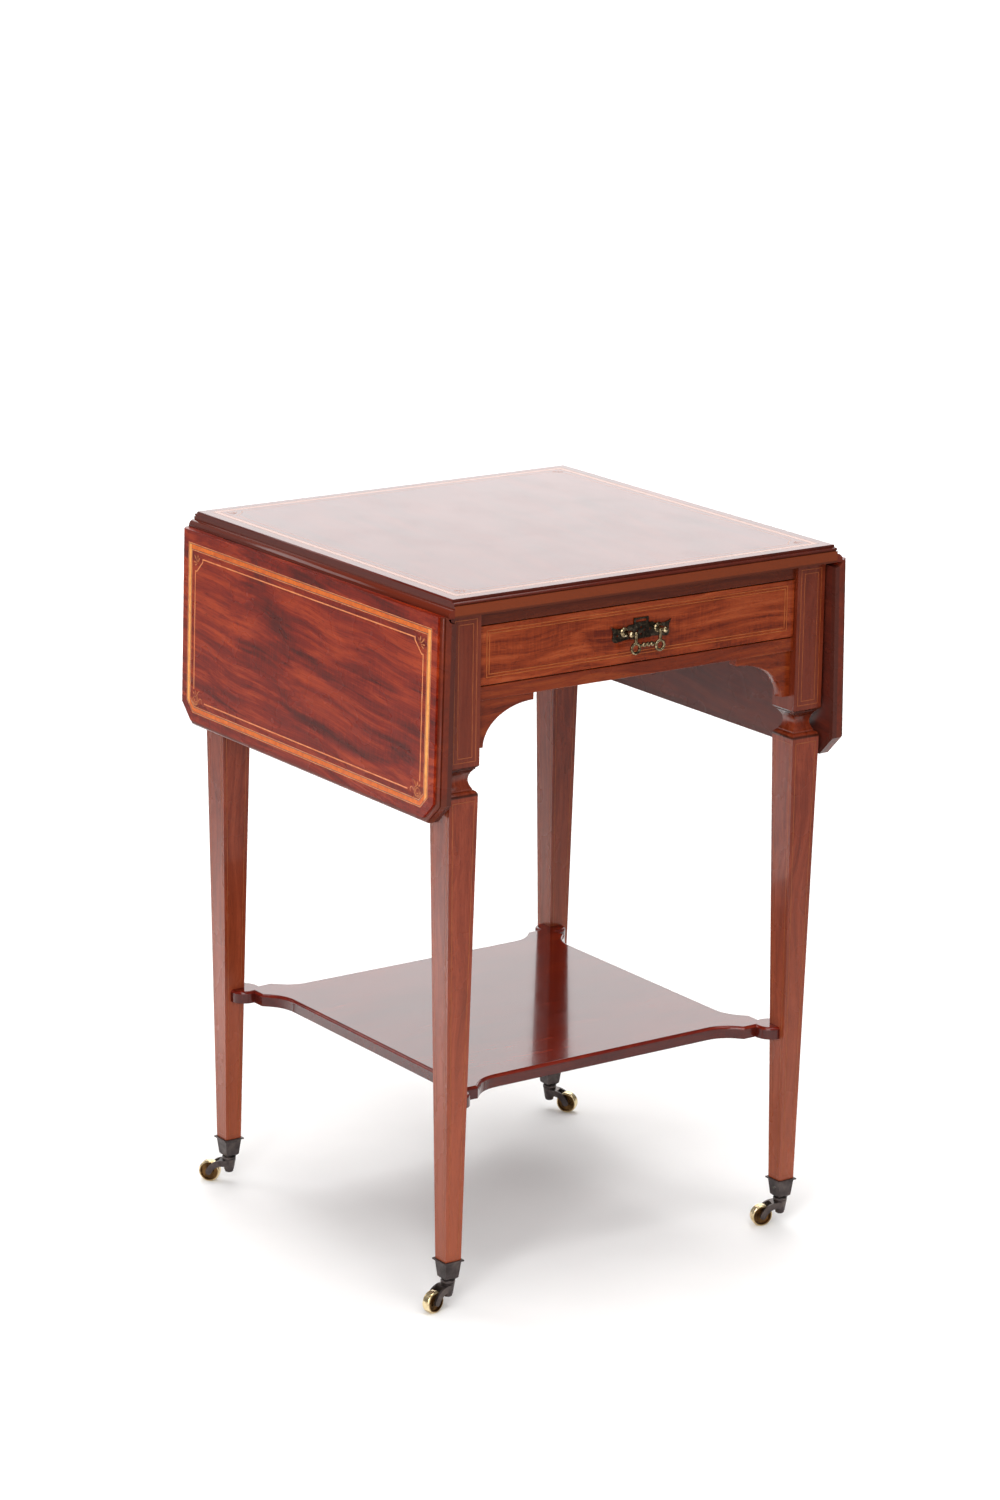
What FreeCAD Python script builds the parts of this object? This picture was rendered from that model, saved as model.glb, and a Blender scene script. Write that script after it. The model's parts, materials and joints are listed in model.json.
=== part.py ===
import FreeCAD, Part
import math
import os
from FreeCAD import Vector

# Drop-leaf lamp table in inlaid mahogany, standing on four castors, all sizes in millimetres.
# +X is to the right of someone facing the drawer, the drawer opens towards -Y, +Z is up.
# The origin is on the floor, under the middle of the top.

# Top and its moulded front and back edges
table_height = 711.0
top_thickness = 17.0
top_flat_width = 453.0
top_flat_depth = 452.0
edge_projection = 5.5
edge_step = 2.6
edge_ledge = 2.3
edge_ovolo = 2.2
edge_quirk_height = 1.0
edge_quirk_depth = 1.4

# Rule joint between the top and each leaf
rule_fillet = 8.5
rule_radius = 6.5
rule_gap = 0.5
rule_arris = 1.5

# Hanging leaves
leaf_flat_width = 195.0
leaf_cant = 17.0
leaf_flare_deg = 1.15

# Inlay let into the top and the leaves
inlay_depth = 1.0
band_inset = 10.6
band_width = 4.4
band_dark_width = 0.7
band_line_width = 0.7
band_hinge_side_inset = 3.0
string_inset = 22.0
string_width = 1.2
string_cant = 14.0
string_ear = 3.0
string_break_along = 20.5
string_break_up = 12.0

# Hinges of the leaves
hinge_offset_y = 150.0
hinge_width = 32.0
hinge_knuckle_radius = 2.0
hinge_pin_radius = 0.9
hinge_plate = 1.5
hinge_short_flap = 20.0
hinge_long_flap = 42.0
hinge_play = 0.3
hinge_middle_knuckle = 15.0
hinge_screw_pitch = 18.0

# Legs
leg_inset_side = 4.5
leg_inset_front = 7.0
leg_block = 34.0
leg_block_height = 148.5
leg_taper_top = 32.8
leg_foot = 18.0
collar_bevel = 1.6
collar_quirk = 1.0
collar_fillet = 1.6
collar_neck = 18.6
collar_neck_drop = 14.0
collar_lower_width = 24.8
collar_lower_drop = 22.7
collar_height = 29.0
collar_lower_step = 1.0

# Rails of the frieze and the drawer opening
rail_setback = 4.0
top_rail_height = 15.0
lower_rail_height = 13.5
front_rail_depth = 30.0
drawer_opening_height = 59.0
back_rail_thickness = 18.0
side_rail_thickness = 16.0
tenon_length = 13.0
tenon_thickness = 8.0
tenon_shoulder = 3.0
tenon_set_in = 4.0
runner_width = 16.0
stop_width = 24.0
stop_height = 5.0
stop_offset_x = 100.0

# Spandrel brackets between the rails and the legs
bracket_setback = 8.0
bracket_thickness = 12.0
bracket_width = 67.0
bracket_height = 47.0
bracket_rail_end = 8.0
bracket_leg_end = 9.5

# Fly brackets that carry the raised leaves
fly_face_setback = 1.2
fly_gap = 0.4
fly_arm_length = 150.0
fly_height = 52.0
fly_tip_height = 22.0
fly_top_gap = 0.5
fly_pin_radius = 2.0
fly_fingers = 5

# Drawer
drawer_side_gap = 0.6
drawer_top_gap = 1.0
drawer_run_gap = 0.3
drawer_front_lift = 0.7
drawer_back_gap = 7.0
drawer_front_thickness = 18.0
drawer_wall = 9.0
drawer_lap = 6.0
drawer_bottom_thickness = 6.0
drawer_bottom_rise = 8.0
drawer_groove = 4.0
drawer_back_drop = 5.0
tail_count = 3
tail_share = 0.55
tail_slope = 1.0 / 7.0
drawer_string_side = 8.5
drawer_string_foot = 6.8
drawer_string_head = 4.7
drawer_string_spacing = 2.8
drawer_string_width = 0.9

# Drawer handle; the outline of its plate is in shares of the half width and of the height
handle_post_spacing = 40.0
handle_rise = 2.9
handle_plate_width = 72.0
handle_plate_height = 21.6
handle_plate_thickness = 1.2
handle_plate_below = 0.44
handle_plate_outline = [(0.0, 0.04), (0.3, 0.04), (0.36, 0.1), (0.8, 0.0), ((0.93, 0.1), (0.93, 0.27)),
                        ((0.93, 0.5), (1.0, 0.74)), ((0.83, 0.63), (0.66, 0.61)), ((0.5, 0.63), (0.38, 0.72)),
                        (0.24, 0.72), (0.24, 1.0), (0.0, 1.0)]
handle_plate_window = [(-0.18, 0.8), (0.18, 0.8), (0.18, 0.92), (-0.18, 0.92)]
handle_plate_holes = [(0.0, 0.25), (-0.12, 0.4), (0.12, 0.4), (0.0, 0.55), (-0.3, 0.42), (0.3, 0.42),
                      (-0.78, 0.3), (0.78, 0.3)]
handle_plate_hole_radius = 1.1
handle_rosette_radius = 5.0
handle_rosette_edge = 0.9
handle_post_radius = 2.4
handle_post_reach = 11.0
handle_ball_radius = 3.4
handle_bolt_radius = 2.0
handle_bolt_end = 1.0
handle_nut_size = 8.0
handle_nut_thickness = 3.0
bail_wire = 1.5
bail_knob_radius = 1.9
bail_neck_radius = 1.7
bail_grip_radius = 1.15
bail_grip_rise = 2.5
bail_pivot_radius = 1.1
bail_ring_radius = 4.7
bail_drop = 14.6
bail_bead_radius = 2.4
bail_bead_count = 3
handle_play = 0.05

# Shelf between the legs
shelf_top_z = 214.0
shelf_thickness = 12.5
shelf_inset = 31.0
shelf_neck_half_width = 20.0
shelf_neck_cut = 2.2
shelf_curve_radius = 38.0
shelf_lobe_radius = 16.3
shelf_round = 3.0
dowel_radius = 3.0
dowel_length = 36.0

# Castors
castor_yaw_deg = {"front_left": 192.0, "front_right": 164.0, "back_left": 134.0, "back_right": -54.0}
castor_wheel_radius = 11.15
castor_wheel_width = 9.0
castor_trail = 20.5
castor_flange_z = 49.7
castor_flange_thickness = 1.4
castor_flange_lip = 2.2
castor_cup_wall = 1.2
castor_cup_inset = 0.8
castor_cup_base_z = 29.5
castor_cup_floor = 4.0
castor_cup_bottom = 14.4
castor_cup_chamfer = 2.0
castor_spindle_radius = 3.0
castor_rivet_radius = 4.5
castor_rivet_z = 11.4
castor_rivet_thickness = 2.6
castor_collar_radius = 7.2
castor_collar_height = 2.6
castor_groove_radius = 6.2
castor_groove_height = 0.8
castor_barrel_radius = 7.0
castor_barrel_foot = 5.1
castor_horn = 6.4
castor_horn_top_z = 24.6
castor_horn_knee = 5.0
castor_slot_start = 10.5
castor_cheek = 2.3
castor_axle_radius = 1.6
castor_hub = 4.6
castor_play = 0.3
castor_edge = 0.9
castor_tread_round = 2.0
castor_rim = 2.4
castor_web_recess = 2.2
running_clearance = 0.05

# Screws
screw_radius = 1.3
screw_head_radius = 2.9
hinge_screw_length = 9.0
top_screw_length = 23.0
cup_screw_length = 6.0

# Heights and planes that follow from the sizes above
underside_z = table_height - top_thickness
hinge_x = top_flat_width / 2
hinge_z = table_height - rule_fillet - rule_radius
half_depth = top_flat_depth / 2
leg_outer_x = hinge_x - leg_inset_side
leg_outer_y = half_depth - leg_inset_front
leg_x = leg_outer_x - leg_block / 2
leg_y = leg_outer_y - leg_block / 2
leg_inner_x = leg_outer_x - leg_block
leg_inner_y = leg_outer_y - leg_block
block_bottom_z = underside_z - leg_block_height
collar_bottom_z = block_bottom_z - collar_height
rail_face_y = leg_outer_y - rail_setback
opening_top_z = underside_z - top_rail_height
opening_bottom_z = opening_top_z - drawer_opening_height
frieze_bottom_z = opening_bottom_z - lower_rail_height
reach = 2 * (top_flat_width + top_flat_depth + leaf_flat_width)
corners = {"front_left": (-1, -1), "front_right": (1, -1), "back_left": (-1, 1), "back_right": (1, 1)}
up = Vector(0, 0, 1)
origin = Vector(0, 0, 0)


# Solids from profiles. A path is a list of points, where a pair of points is an arc: middle, then end.
def outline(path, place):
    edges = []
    last = path[0]
    for step in path[1:] + [path[0]]:
        if isinstance(step[0], tuple):
            middle, end = step
            edges.append(Part.Arc(place(last), place(middle), place(end)).toShape())
        else:
            end = step
            edges.append(Part.LineSegment(place(last), place(end)).toShape())
        last = end
    return Part.Face(Part.Wire(edges))


def prism_x(path, start, end):
    return outline(path, lambda p: Vector(start, p[0], p[1])).extrude(Vector(end - start, 0, 0))


def prism_y(path, start, end):
    return outline(path, lambda p: Vector(p[0], start, p[1])).extrude(Vector(0, end - start, 0))


def prism_z(path, start, end):
    return outline(path, lambda p: Vector(p[0], p[1], start)).extrude(Vector(0, 0, end - start))


def lathe(path, base, axis):
    """Solid of revolution of (radius, height) points about an axis through base."""
    turned = outline(path, lambda p: Vector(p[0], 0, p[1])).revolve(origin, up, 360)
    turned.Placement = FreeCAD.Placement(base, FreeCAD.Rotation(up, axis))
    return turned


def block(x, y, z):
    return Part.makeBox(x[1] - x[0], y[1] - y[0], z[1] - z[0], Vector(x[0], y[0], z[0]))


def rod(radius, base, axis, length):
    return Part.makeCylinder(radius, length, base, axis)


def turned_z(shape, degrees):
    copy = shape.copy()
    copy.rotate(origin, up, degrees)
    return copy


def mirrored_x(shape):
    return shape.mirror(origin, Vector(1, 0, 0))


def mirrored_y(shape):
    return shape.mirror(origin, Vector(0, 1, 0))


def common_of(shapes):
    result = shapes[0]
    for shape in shapes[1:]:
        result = result.common(shape)
    return result


def joined(shapes):
    return shapes[0].fuse(shapes[1:]).removeSplitter()


def arc_point(centre, radius, degrees):
    angle = math.radians(degrees)
    return (centre[0] + radius * math.cos(angle), centre[1] + radius * math.sin(angle))


def screw(base, axis, length):
    """Countersunk wood screw: base is the middle of its flat head, axis points to its tip."""
    neck = screw_head_radius - screw_radius
    point = [(0, 0), (screw_head_radius, 0), (screw_radius, neck),
             (screw_radius, length - 2 * screw_radius), (0, length)]
    return lathe(point, base, axis)


parts = {}


def add(node, shapes):
    """Store a node made of one solid or of a group of separate solids."""
    parts[node] = shapes if isinstance(shapes, list) else [shapes]


# Edge forms shared by the top and the leaves
def moulded_side(flat, degrees):
    """Half space under the top face, ending in the step, ovolo, quirk and fascia moulding."""
    ovolo_z = table_height - edge_step
    quirk_z = ovolo_z - edge_ovolo
    fascia_z = quirk_z - edge_quirk_height
    ovolo_start = flat + edge_ledge
    ovolo_end = ovolo_start + edge_ovolo
    quirk = ovolo_end - edge_quirk_depth
    fascia = flat + edge_projection
    path = [(-reach, underside_z), (-reach, table_height), (flat, table_height), (flat, ovolo_z),
            (ovolo_start, ovolo_z), (arc_point((ovolo_start, quirk_z), edge_ovolo, 45), (ovolo_end, quirk_z)),
            (quirk, quirk_z), (quirk, fascia_z), (fascia, fascia_z), (fascia, underside_z)]
    return turned_z(prism_y(path, -reach, reach), degrees)


def rule_ovolo_side(degrees):
    """Half space ending in the fillet and quarter round of the fixed half of a rule joint."""
    arris = (hinge_x - rule_arris, table_height - rule_arris)
    path = [(-reach, underside_z), (-reach, table_height), (arris[0], table_height),
            (arc_point(arris, rule_arris, 45), (hinge_x, arris[1])),
            (hinge_x, hinge_z + rule_radius),
            (arc_point((hinge_x, hinge_z), rule_radius, 45), (hinge_x + rule_radius, hinge_z)),
            (hinge_x + rule_radius, underside_z)]
    return turned_z(prism_y(path, -reach, reach), degrees)


def rule_cove_side():
    """Half space starting at the lip and cove of a raised right leaf."""
    lip = hinge_x + rule_gap
    cove = rule_radius + rule_gap
    start = math.degrees(math.acos(rule_gap / cove))
    axis = (hinge_x, hinge_z)
    path = [(reach, underside_z), (reach, table_height), (lip, table_height), arc_point(axis, cove, start),
            (arc_point(axis, cove, start / 2), (hinge_x + cove, hinge_z)), (hinge_x + cove, underside_z)]
    return prism_y(path, -reach, reach)


def ring(shape, inset, width):
    """Flat strip of inlay that follows an outline, flush with the top face."""
    floor = table_height - inlay_depth
    return prism_z(shape(inset), floor, table_height).cut(prism_z(shape(inset + width), floor, table_height))


def bordered_band(shape):
    """A band with a fine dark line on both sides and a fine pale line outside each dark one."""
    band_end = band_inset + band_width
    band = ring(shape, band_inset, band_width)
    dark = [ring(shape, band_inset - band_dark_width, band_dark_width),
            ring(shape, band_end, band_dark_width)]
    pale = [ring(shape, band_inset - band_dark_width - band_line_width, band_line_width),
            ring(shape, band_end + band_dark_width, band_line_width)]
    return band, dark, pale


def canted(x, y, cant):
    """Outline between two x values and plus or minus y, its two corners at the high end cut by a cant."""
    high = [(x[1] - cant, -y), (x[1], cant - y)] if cant else [(x[1], -y)]
    side = [(x[0], -y)] + high
    return side + [(px, -py) for px, py in reversed(side)]


def eared(x, y, ear, both_ends):
    """Outline of an inner string: at the low end, or at both, its corners step in round a 45 degree cut."""
    low = [(x[0], string_cant - y), (x[0] + ear, string_cant - y),
           (x[0] + string_cant, ear - y), (x[0] + string_cant, -y)]
    high = [(x[0] + x[1] - px, py) for px, py in reversed(low)] if both_ends else [(x[1], -y)]
    return low + high + [(px, -py) for px, py in reversed(low + high)]


def cant_at(cant, inset):
    """Length that a 45 degree cant keeps when the outline round it is drawn in."""
    return cant - inset * (2 - math.sqrt(2))


# Top panel with its inlaid band
def top_outline(inset):
    x = hinge_x - rule_arris - inset
    return canted((-x, x), half_depth - inset, 0)


def top_string_outline(inset):
    x = hinge_x - rule_arris - inset
    return eared((-x, x), half_depth - inset, cant_at(string_ear, inset - string_inset), True)


def hinge_places():
    return (-hinge_offset_y, hinge_offset_y)


def hinge_recess(y):
    """Housing for one hinge under the right edge of the top: flap bed, barrel groove and swing room."""
    sides = (y - hinge_width / 2 - hinge_play, y + hinge_width / 2 + hinge_play)
    barrel = hinge_knuckle_radius + hinge_play
    bed = block((hinge_x - hinge_short_flap, hinge_x), (y - hinge_width / 2, y + hinge_width / 2),
                (underside_z, underside_z + hinge_plate))
    swing = block((hinge_x - barrel, hinge_x + 2 * rule_radius), sides, (underside_z, hinge_z))
    groove = rod(barrel, Vector(hinge_x, sides[0], hinge_z), Vector(0, 1, 0), sides[1] - sides[0])
    return joined([bed, swing, groove])


top_blank = common_of([moulded_side(half_depth, -90), moulded_side(half_depth, 90),
                       rule_ovolo_side(0), rule_ovolo_side(180)])
right_recesses = [hinge_recess(y) for y in hinge_places()]
left_recesses = [mirrored_x(recess) for recess in right_recesses]
top_band, top_dark, top_pale = bordered_band(top_outline)
top_lines = top_pale + [ring(top_string_outline, string_inset, string_width)]
add("top_banding", top_band)
add("top_dark_lines", top_dark)
add("top_stringing", top_lines)


# Back-flap hinges: three knuckles on a pin, the fixed flap has the outer two
def hinge_fixed_flap(y):
    half = hinge_width / 2
    middle = hinge_middle_knuckle / 2 + hinge_play
    root = hinge_x - hinge_knuckle_radius - hinge_play
    plate_z = (underside_z, underside_z + hinge_plate)
    solids = [block((hinge_x - hinge_short_flap, root), (y - half, y + half), plate_z)]
    for start in (y - half, y + middle):
        solids.append(block((root, hinge_x), (start, start + half - middle), plate_z))
        base = Vector(hinge_x, start, hinge_z)
        solids.append(rod(hinge_knuckle_radius, base, Vector(0, 1, 0), half - middle))
    return joined(solids).cut(hinge_pin_hole(y))


def hinge_moving_flap(y):
    """Long flap as it lies when the leaf is raised."""
    half = hinge_width / 2
    middle = hinge_middle_knuckle / 2
    root = hinge_x + hinge_knuckle_radius + hinge_play
    plate_z = (underside_z, underside_z + hinge_plate)
    knuckle = rod(hinge_knuckle_radius, Vector(hinge_x, y - middle, hinge_z), Vector(0, 1, 0), 2 * middle)
    solids = [knuckle, block((hinge_x, root), (y - middle, y + middle), plate_z),
              block((root, hinge_x + hinge_long_flap), (y - half, y + half), plate_z)]
    return joined(solids).cut(hinge_pin_hole(y))


def hinge_pin_hole(y):
    base = Vector(hinge_x, y - hinge_width, hinge_z)
    return rod(hinge_pin_radius + running_clearance, base, Vector(0, 1, 0), 2 * hinge_width)


def hinge_pin(y):
    return rod(hinge_pin_radius, Vector(hinge_x, y - hinge_width / 2, hinge_z), Vector(0, 1, 0), hinge_width)


def flap_screws(x, y):
    """Two screws side by side, driven up through a flap from below."""
    rows = (y - hinge_screw_pitch / 2, y + hinge_screw_pitch / 2)
    return [screw(Vector(x, row, underside_z), up, hinge_screw_length) for row in rows]


fixed_flaps = []
fixed_screws = []
pins = []
for place in hinge_places():
    flap_screw_x = hinge_x - (hinge_short_flap + hinge_knuckle_radius) / 2
    flap_fixings = flap_screws(flap_screw_x, place)
    flap = hinge_fixed_flap(place).cut(flap_fixings)
    for flip in (False, True):
        fixed_flaps.append(mirrored_x(flap) if flip else flap)
        pins.append(mirrored_x(hinge_pin(place)) if flip else hinge_pin(place))
        fixed_screws.extend(mirrored_x(item) if flip else item for item in flap_fixings)
add("hinge_fixed_flaps", fixed_flaps)
add("hinge_fixed_screws", fixed_screws)
add("hinge_pins", pins)


# Leaves, made raised on the right, then swung down about the hinge and mirrored
leaf_lip_x = hinge_x + rule_gap
leaf_flat_x = leaf_lip_x + leaf_flat_width


def leaf_outline(inset):
    """Outline of the leaf's flat face drawn in by an inset, with its two canted outer corners."""
    x = (leaf_lip_x + band_hinge_side_inset + inset, leaf_flat_x - inset)
    return canted(x, half_depth - inset, cant_at(leaf_cant, inset))


def leaf_string_outline(inset):
    """Outline of the inner string, with stepped corners next to the hinge."""
    x = (leaf_lip_x + band_hinge_side_inset + inset, leaf_flat_x - inset)
    return eared(x, half_depth - inset, cant_at(string_ear, inset - string_inset), False)


def leaf_string():
    """The inner string, which stops short of its two outer corners."""
    corner_x = leaf_flat_x - string_inset
    corner_y = half_depth - string_inset
    gap_z = (table_height - inlay_depth, table_height)
    gap_x = (corner_x - string_break_up, corner_x)
    gaps = []
    for side in (-1, 1):
        gap_y = sorted((side * corner_y, side * (corner_y - string_break_along)))
        gaps.append(block(gap_x, gap_y, gap_z))
    return ring(leaf_string_outline, string_inset, string_width).cut(gaps).Solids


def hang(shape):
    """Swing a raised right leaf, or a piece of it, down to where it hangs."""
    copy = shape.copy()
    copy.rotate(Vector(hinge_x, 0, hinge_z), Vector(0, 1, 0), 90 - leaf_flare_deg)
    return copy


cant_distance = (leaf_flat_x + half_depth - leaf_cant) / math.sqrt(2)
leaf_blank = common_of([moulded_side(half_depth, -90), moulded_side(half_depth, 90),
                        moulded_side(leaf_flat_x, 0), moulded_side(cant_distance, 45),
                        moulded_side(cant_distance, -45), rule_cove_side()])
leaf_band, leaf_dark, leaf_pale = bordered_band(leaf_outline)
leaf_lines = leaf_pale + leaf_string()
leaf_flaps = []
leaf_screws = []
for place in hinge_places():
    row_x = (hinge_x + 2 * rule_radius, hinge_x + hinge_long_flap)
    row = flap_screws((row_x[0] + row_x[1]) / 2, place)
    leaf_flaps.append(hinge_moving_flap(place).cut(row))
    leaf_screws.extend(row)
leaf = leaf_blank.cut([leaf_band] + leaf_dark + leaf_lines + leaf_flaps + leaf_screws)
leaf_pieces = {"leaf": [leaf], "leaf_banding": [leaf_band], "leaf_dark_lines": leaf_dark,
               "leaf_stringing": leaf_lines, "leaf_hinge_flaps": leaf_flaps, "leaf_hinge_screws": leaf_screws}
for name, solids in leaf_pieces.items():
    hanging = [hang(solid) for solid in solids]
    add(name + "_right", hanging)
    add(name + "_left", [mirrored_x(solid) for solid in hanging])


# Rails of the frieze, each with a tenon at both ends
def rail_along_x(face_y, inner_y, z):
    shoulder = (z[0] + tenon_shoulder, z[1] - tenon_shoulder)
    inward = math.copysign(1, inner_y - face_y)
    tenon_y = sorted((face_y + inward * tenon_set_in, face_y + inward * (tenon_set_in + tenon_thickness)))
    body = block((-leg_inner_x, leg_inner_x), sorted((face_y, inner_y)), z)
    tenons = block((-leg_inner_x - tenon_length, leg_inner_x + tenon_length), tenon_y, shoulder)
    return joined([body, tenons])


def rail_along_y(x, z):
    shoulder = (z[0] + tenon_shoulder, z[1] - tenon_shoulder)
    middle = (x[0] + x[1]) / 2
    tenon_x = (middle - tenon_thickness / 2, middle + tenon_thickness / 2)
    body = block(x, (-leg_inner_y, leg_inner_y), z)
    tenons = block(tenon_x, (-leg_inner_y - tenon_length, leg_inner_y + tenon_length), shoulder)
    return joined([body, tenons])


front_rail_y = (-rail_face_y, front_rail_depth - rail_face_y)
back_rail_y = (rail_face_y - back_rail_thickness, rail_face_y)
frieze_z = (frieze_bottom_z, underside_z)
side_rail_outer_x = leg_inner_x + side_rail_thickness
drawer_top_rail = rail_along_x(*front_rail_y, (opening_top_z, underside_z))
drawer_lower_rail = rail_along_x(*front_rail_y, (frieze_bottom_z, opening_bottom_z))
back_rail = rail_along_x(back_rail_y[1], back_rail_y[0], frieze_z)
side_rail = rail_along_y((leg_inner_x, side_rail_outer_x), frieze_z)
side_rail_left = mirrored_x(side_rail)
add("drawer_top_rail", drawer_top_rail)
add("drawer_lower_rail", drawer_lower_rail)
add("back_rail", back_rail)
add("side_rail_right", side_rail)
add("side_rail_left", side_rail_left)


# Drawer runners, kickers and stops
strip_x = (leg_inner_x - runner_width, leg_inner_x)
strip_y = (front_rail_y[1], back_rail_y[0])
runner = block(strip_x, strip_y, (frieze_bottom_z, opening_bottom_z))
kicker = block(strip_x, strip_y, (opening_top_z, underside_z))
kicker_screw_x = (strip_x[0] + strip_x[1]) / 2
kicker_screws = []
for place in hinge_places():
    kicker_screws.append(screw(Vector(kicker_screw_x, place, opening_top_z), up, top_screw_length))
kicker = kicker.cut(kicker_screws)
add("drawer_runners", [runner, mirrored_x(runner)])
add("drawer_kickers", [kicker, mirrored_x(kicker)])
top_screws = kicker_screws + [mirrored_x(item) for item in kicker_screws]
add("top_screws", top_screws)
stop_start_y = drawer_front_thickness - rail_face_y + drawer_run_gap
stop = block((stop_offset_x - stop_width / 2, stop_offset_x + stop_width / 2),
             (stop_start_y, front_rail_y[1]), (opening_bottom_z, opening_bottom_z + stop_height))
add("drawer_stops", [stop, mirrored_x(stop)])
top_inlay = [top_band] + top_dark + top_lines
add("top_panel", top_blank.cut(top_inlay + right_recesses + left_recesses + fixed_screws + top_screws))


# Spandrel brackets under the front and back rails
def bracket():
    """Front right bracket: a square end on the rail and on the leg, joined by a hollow elliptical sweep."""
    tip = (leg_inner_x - bracket_width, frieze_bottom_z - bracket_rail_end)
    toe = (leg_inner_x - bracket_leg_end, frieze_bottom_z - bracket_height)
    rounds = (toe[0] - tip[0], tip[1] - toe[1])
    hollow = Part.Ellipse(Vector(tip[0], 0, toe[1]), max(rounds), min(rounds))
    hollow.Axis = Vector(0, -1, 0)
    hollow.XAxis = Vector(1, 0, 0) if rounds[0] >= rounds[1] else Vector(0, 0, 1)
    ellipse = Part.Face(Part.Wire(hollow.toShape())).extrude(Vector(0, bracket_thickness, 0))
    blank = block((tip[0], leg_inner_x), (0, bracket_thickness), (toe[1], frieze_bottom_z))
    blank = blank.cut(ellipse)
    blank.translate(Vector(0, bracket_setback - leg_outer_y, 0))
    return blank


front_bracket = bracket()
brackets = [front_bracket, mirrored_x(front_bracket)]
add("corner_brackets", brackets + [mirrored_y(item) for item in brackets])


# Shelf with a shaped arm to each leg, ending in a round lobe notched over the leg's inner corner
def leg_half_at(z):
    share = (z - castor_flange_z) / (collar_bottom_z - castor_flange_z)
    return (leg_foot + share * (leg_taper_top - leg_foot)) / 2


def shelf_corner():
    """Outline from the right side to the front edge of the shelf, round the front right arm."""
    arm = shelf_neck_half_width * math.sqrt(2)
    cut = leg_half_at(shelf_top_z) + shelf_neck_cut
    bend = shelf_curve_radius * math.tan(math.radians(45) / 2)
    dip = bend / math.sqrt(2)
    start = (shelf_inset + arm + bend, shelf_inset)
    end = (shelf_inset + arm - dip, shelf_inset - dip)
    centre = (start[0], start[1] - shelf_curve_radius)
    middle = arc_point(centre, shelf_curve_radius, 90 + 45 / 2)
    neck = (cut + arm, cut)

    def flip(point):
        return (point[1], point[0])

    path = [flip(start), (flip(middle), flip(end)), flip(neck), (cut, cut), neck, end, (middle, start)]
    return path


def to_corner(step, sx, sy):
    if isinstance(step[0], tuple):
        return tuple(to_corner(point, sx, sy) for point in step)
    return (sx * (leg_x - step[0]), sy * (leg_y - step[1]))


def reversed_path(path):
    """The same run of lines and arcs, walked the other way."""
    points = [step[1] if isinstance(step[0], tuple) else step for step in path]
    back = [points[-1]]
    for step, before in zip(reversed(path), reversed(points[:-1])):
        back.append((step[0], before) if isinstance(step[0], tuple) else before)
    return back


def shelf_outline():
    path = []
    for name in ("front_left", "front_right", "back_right", "back_left"):
        sx, sy = corners[name]
        run = [to_corner(step, sx, sy) for step in shelf_corner()]
        path += run if sx * sy > 0 else reversed_path(run)
    return path


shelf_z = (shelf_top_z - shelf_thickness, shelf_top_z)
lobe_offset = leg_half_at(shelf_top_z)
lobes = []
dowels = []
for sx, sy in corners.values():
    lobe_base = Vector(sx * (leg_x - lobe_offset), sy * (leg_y - lobe_offset), shelf_z[0])
    lobes.append(rod(shelf_lobe_radius, lobe_base, up, shelf_thickness))
    inward = Vector(-sx, -sy, 0)
    dowel_start = Vector(sx * leg_x, sy * leg_y, (shelf_z[0] + shelf_z[1]) / 2)
    dowels.append(rod(dowel_radius, dowel_start, inward, dowel_length))
shelf_blank = joined([prism_z(shelf_outline(), shelf_z[0], shelf_z[1])] + lobes)
rim = [edge for edge in shelf_blank.Edges
       if edge.BoundBox.ZMin > shelf_top_z - 0.01 * shelf_thickness]
shelf_blank = shelf_blank.makeFillet(shelf_round, rim)
add("shelf_dowels", dowels)


# Legs: one moulded profile on all four faces, with mortises for whatever enters them
def leg_side(degrees):
    half = leg_block / 2
    taper = leg_taper_top / 2
    foot = leg_foot / 2
    step = half - collar_bevel - collar_quirk
    step_z = block_bottom_z - collar_bevel
    lower = collar_lower_width / 2
    lower_z = block_bottom_z - collar_lower_drop
    flare = lower + collar_lower_step
    flare_z = lower_z - collar_fillet
    bulge = ((flare + 2 * taper) / 3, (2 * flare_z + collar_bottom_z) / 3)
    foot_z = castor_cup_base_z + castor_cup_floor + castor_rivet_thickness
    path = [(-reach, foot_z), (-reach, underside_z), (half, underside_z), (half, block_bottom_z),
            (half - collar_bevel, step_z), (step, step_z), (step, step_z - collar_fillet),
            ((collar_neck / 2, block_bottom_z - collar_neck_drop), (lower, lower_z)),
            (lower, flare_z), (flare, flare_z), (bulge, (taper, collar_bottom_z)),
            (foot, castor_flange_z), (foot - castor_cup_inset, castor_flange_z),
            (cup_bore_at(foot_z), foot_z)]
    return turned_z(prism_y(path, -reach, reach), degrees)


def cup_bore_at(z):
    """Half width of the tapered socket of a castor cup at a height."""
    top = leg_foot / 2 - castor_cup_inset
    bottom = castor_cup_bottom / 2 - castor_cup_wall
    share = (z - castor_cup_base_z) / (castor_flange_z - castor_cup_base_z)
    return bottom + share * (top - bottom)


# Square cup castors: cup and spindle stay with the leg, fork and wheel turn under it
def square(half, z):
    corner = [Vector(x, y, z) for x, y in ((-half, -half), (half, -half), (half, half), (-half, half))]
    return Part.makePolygon(corner + corner[:1])


def tapered(half_low, z_low, half_high, z_high):
    return Part.makeLoft([square(half_low, z_low), square(half_high, z_high)], True, True)


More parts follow.
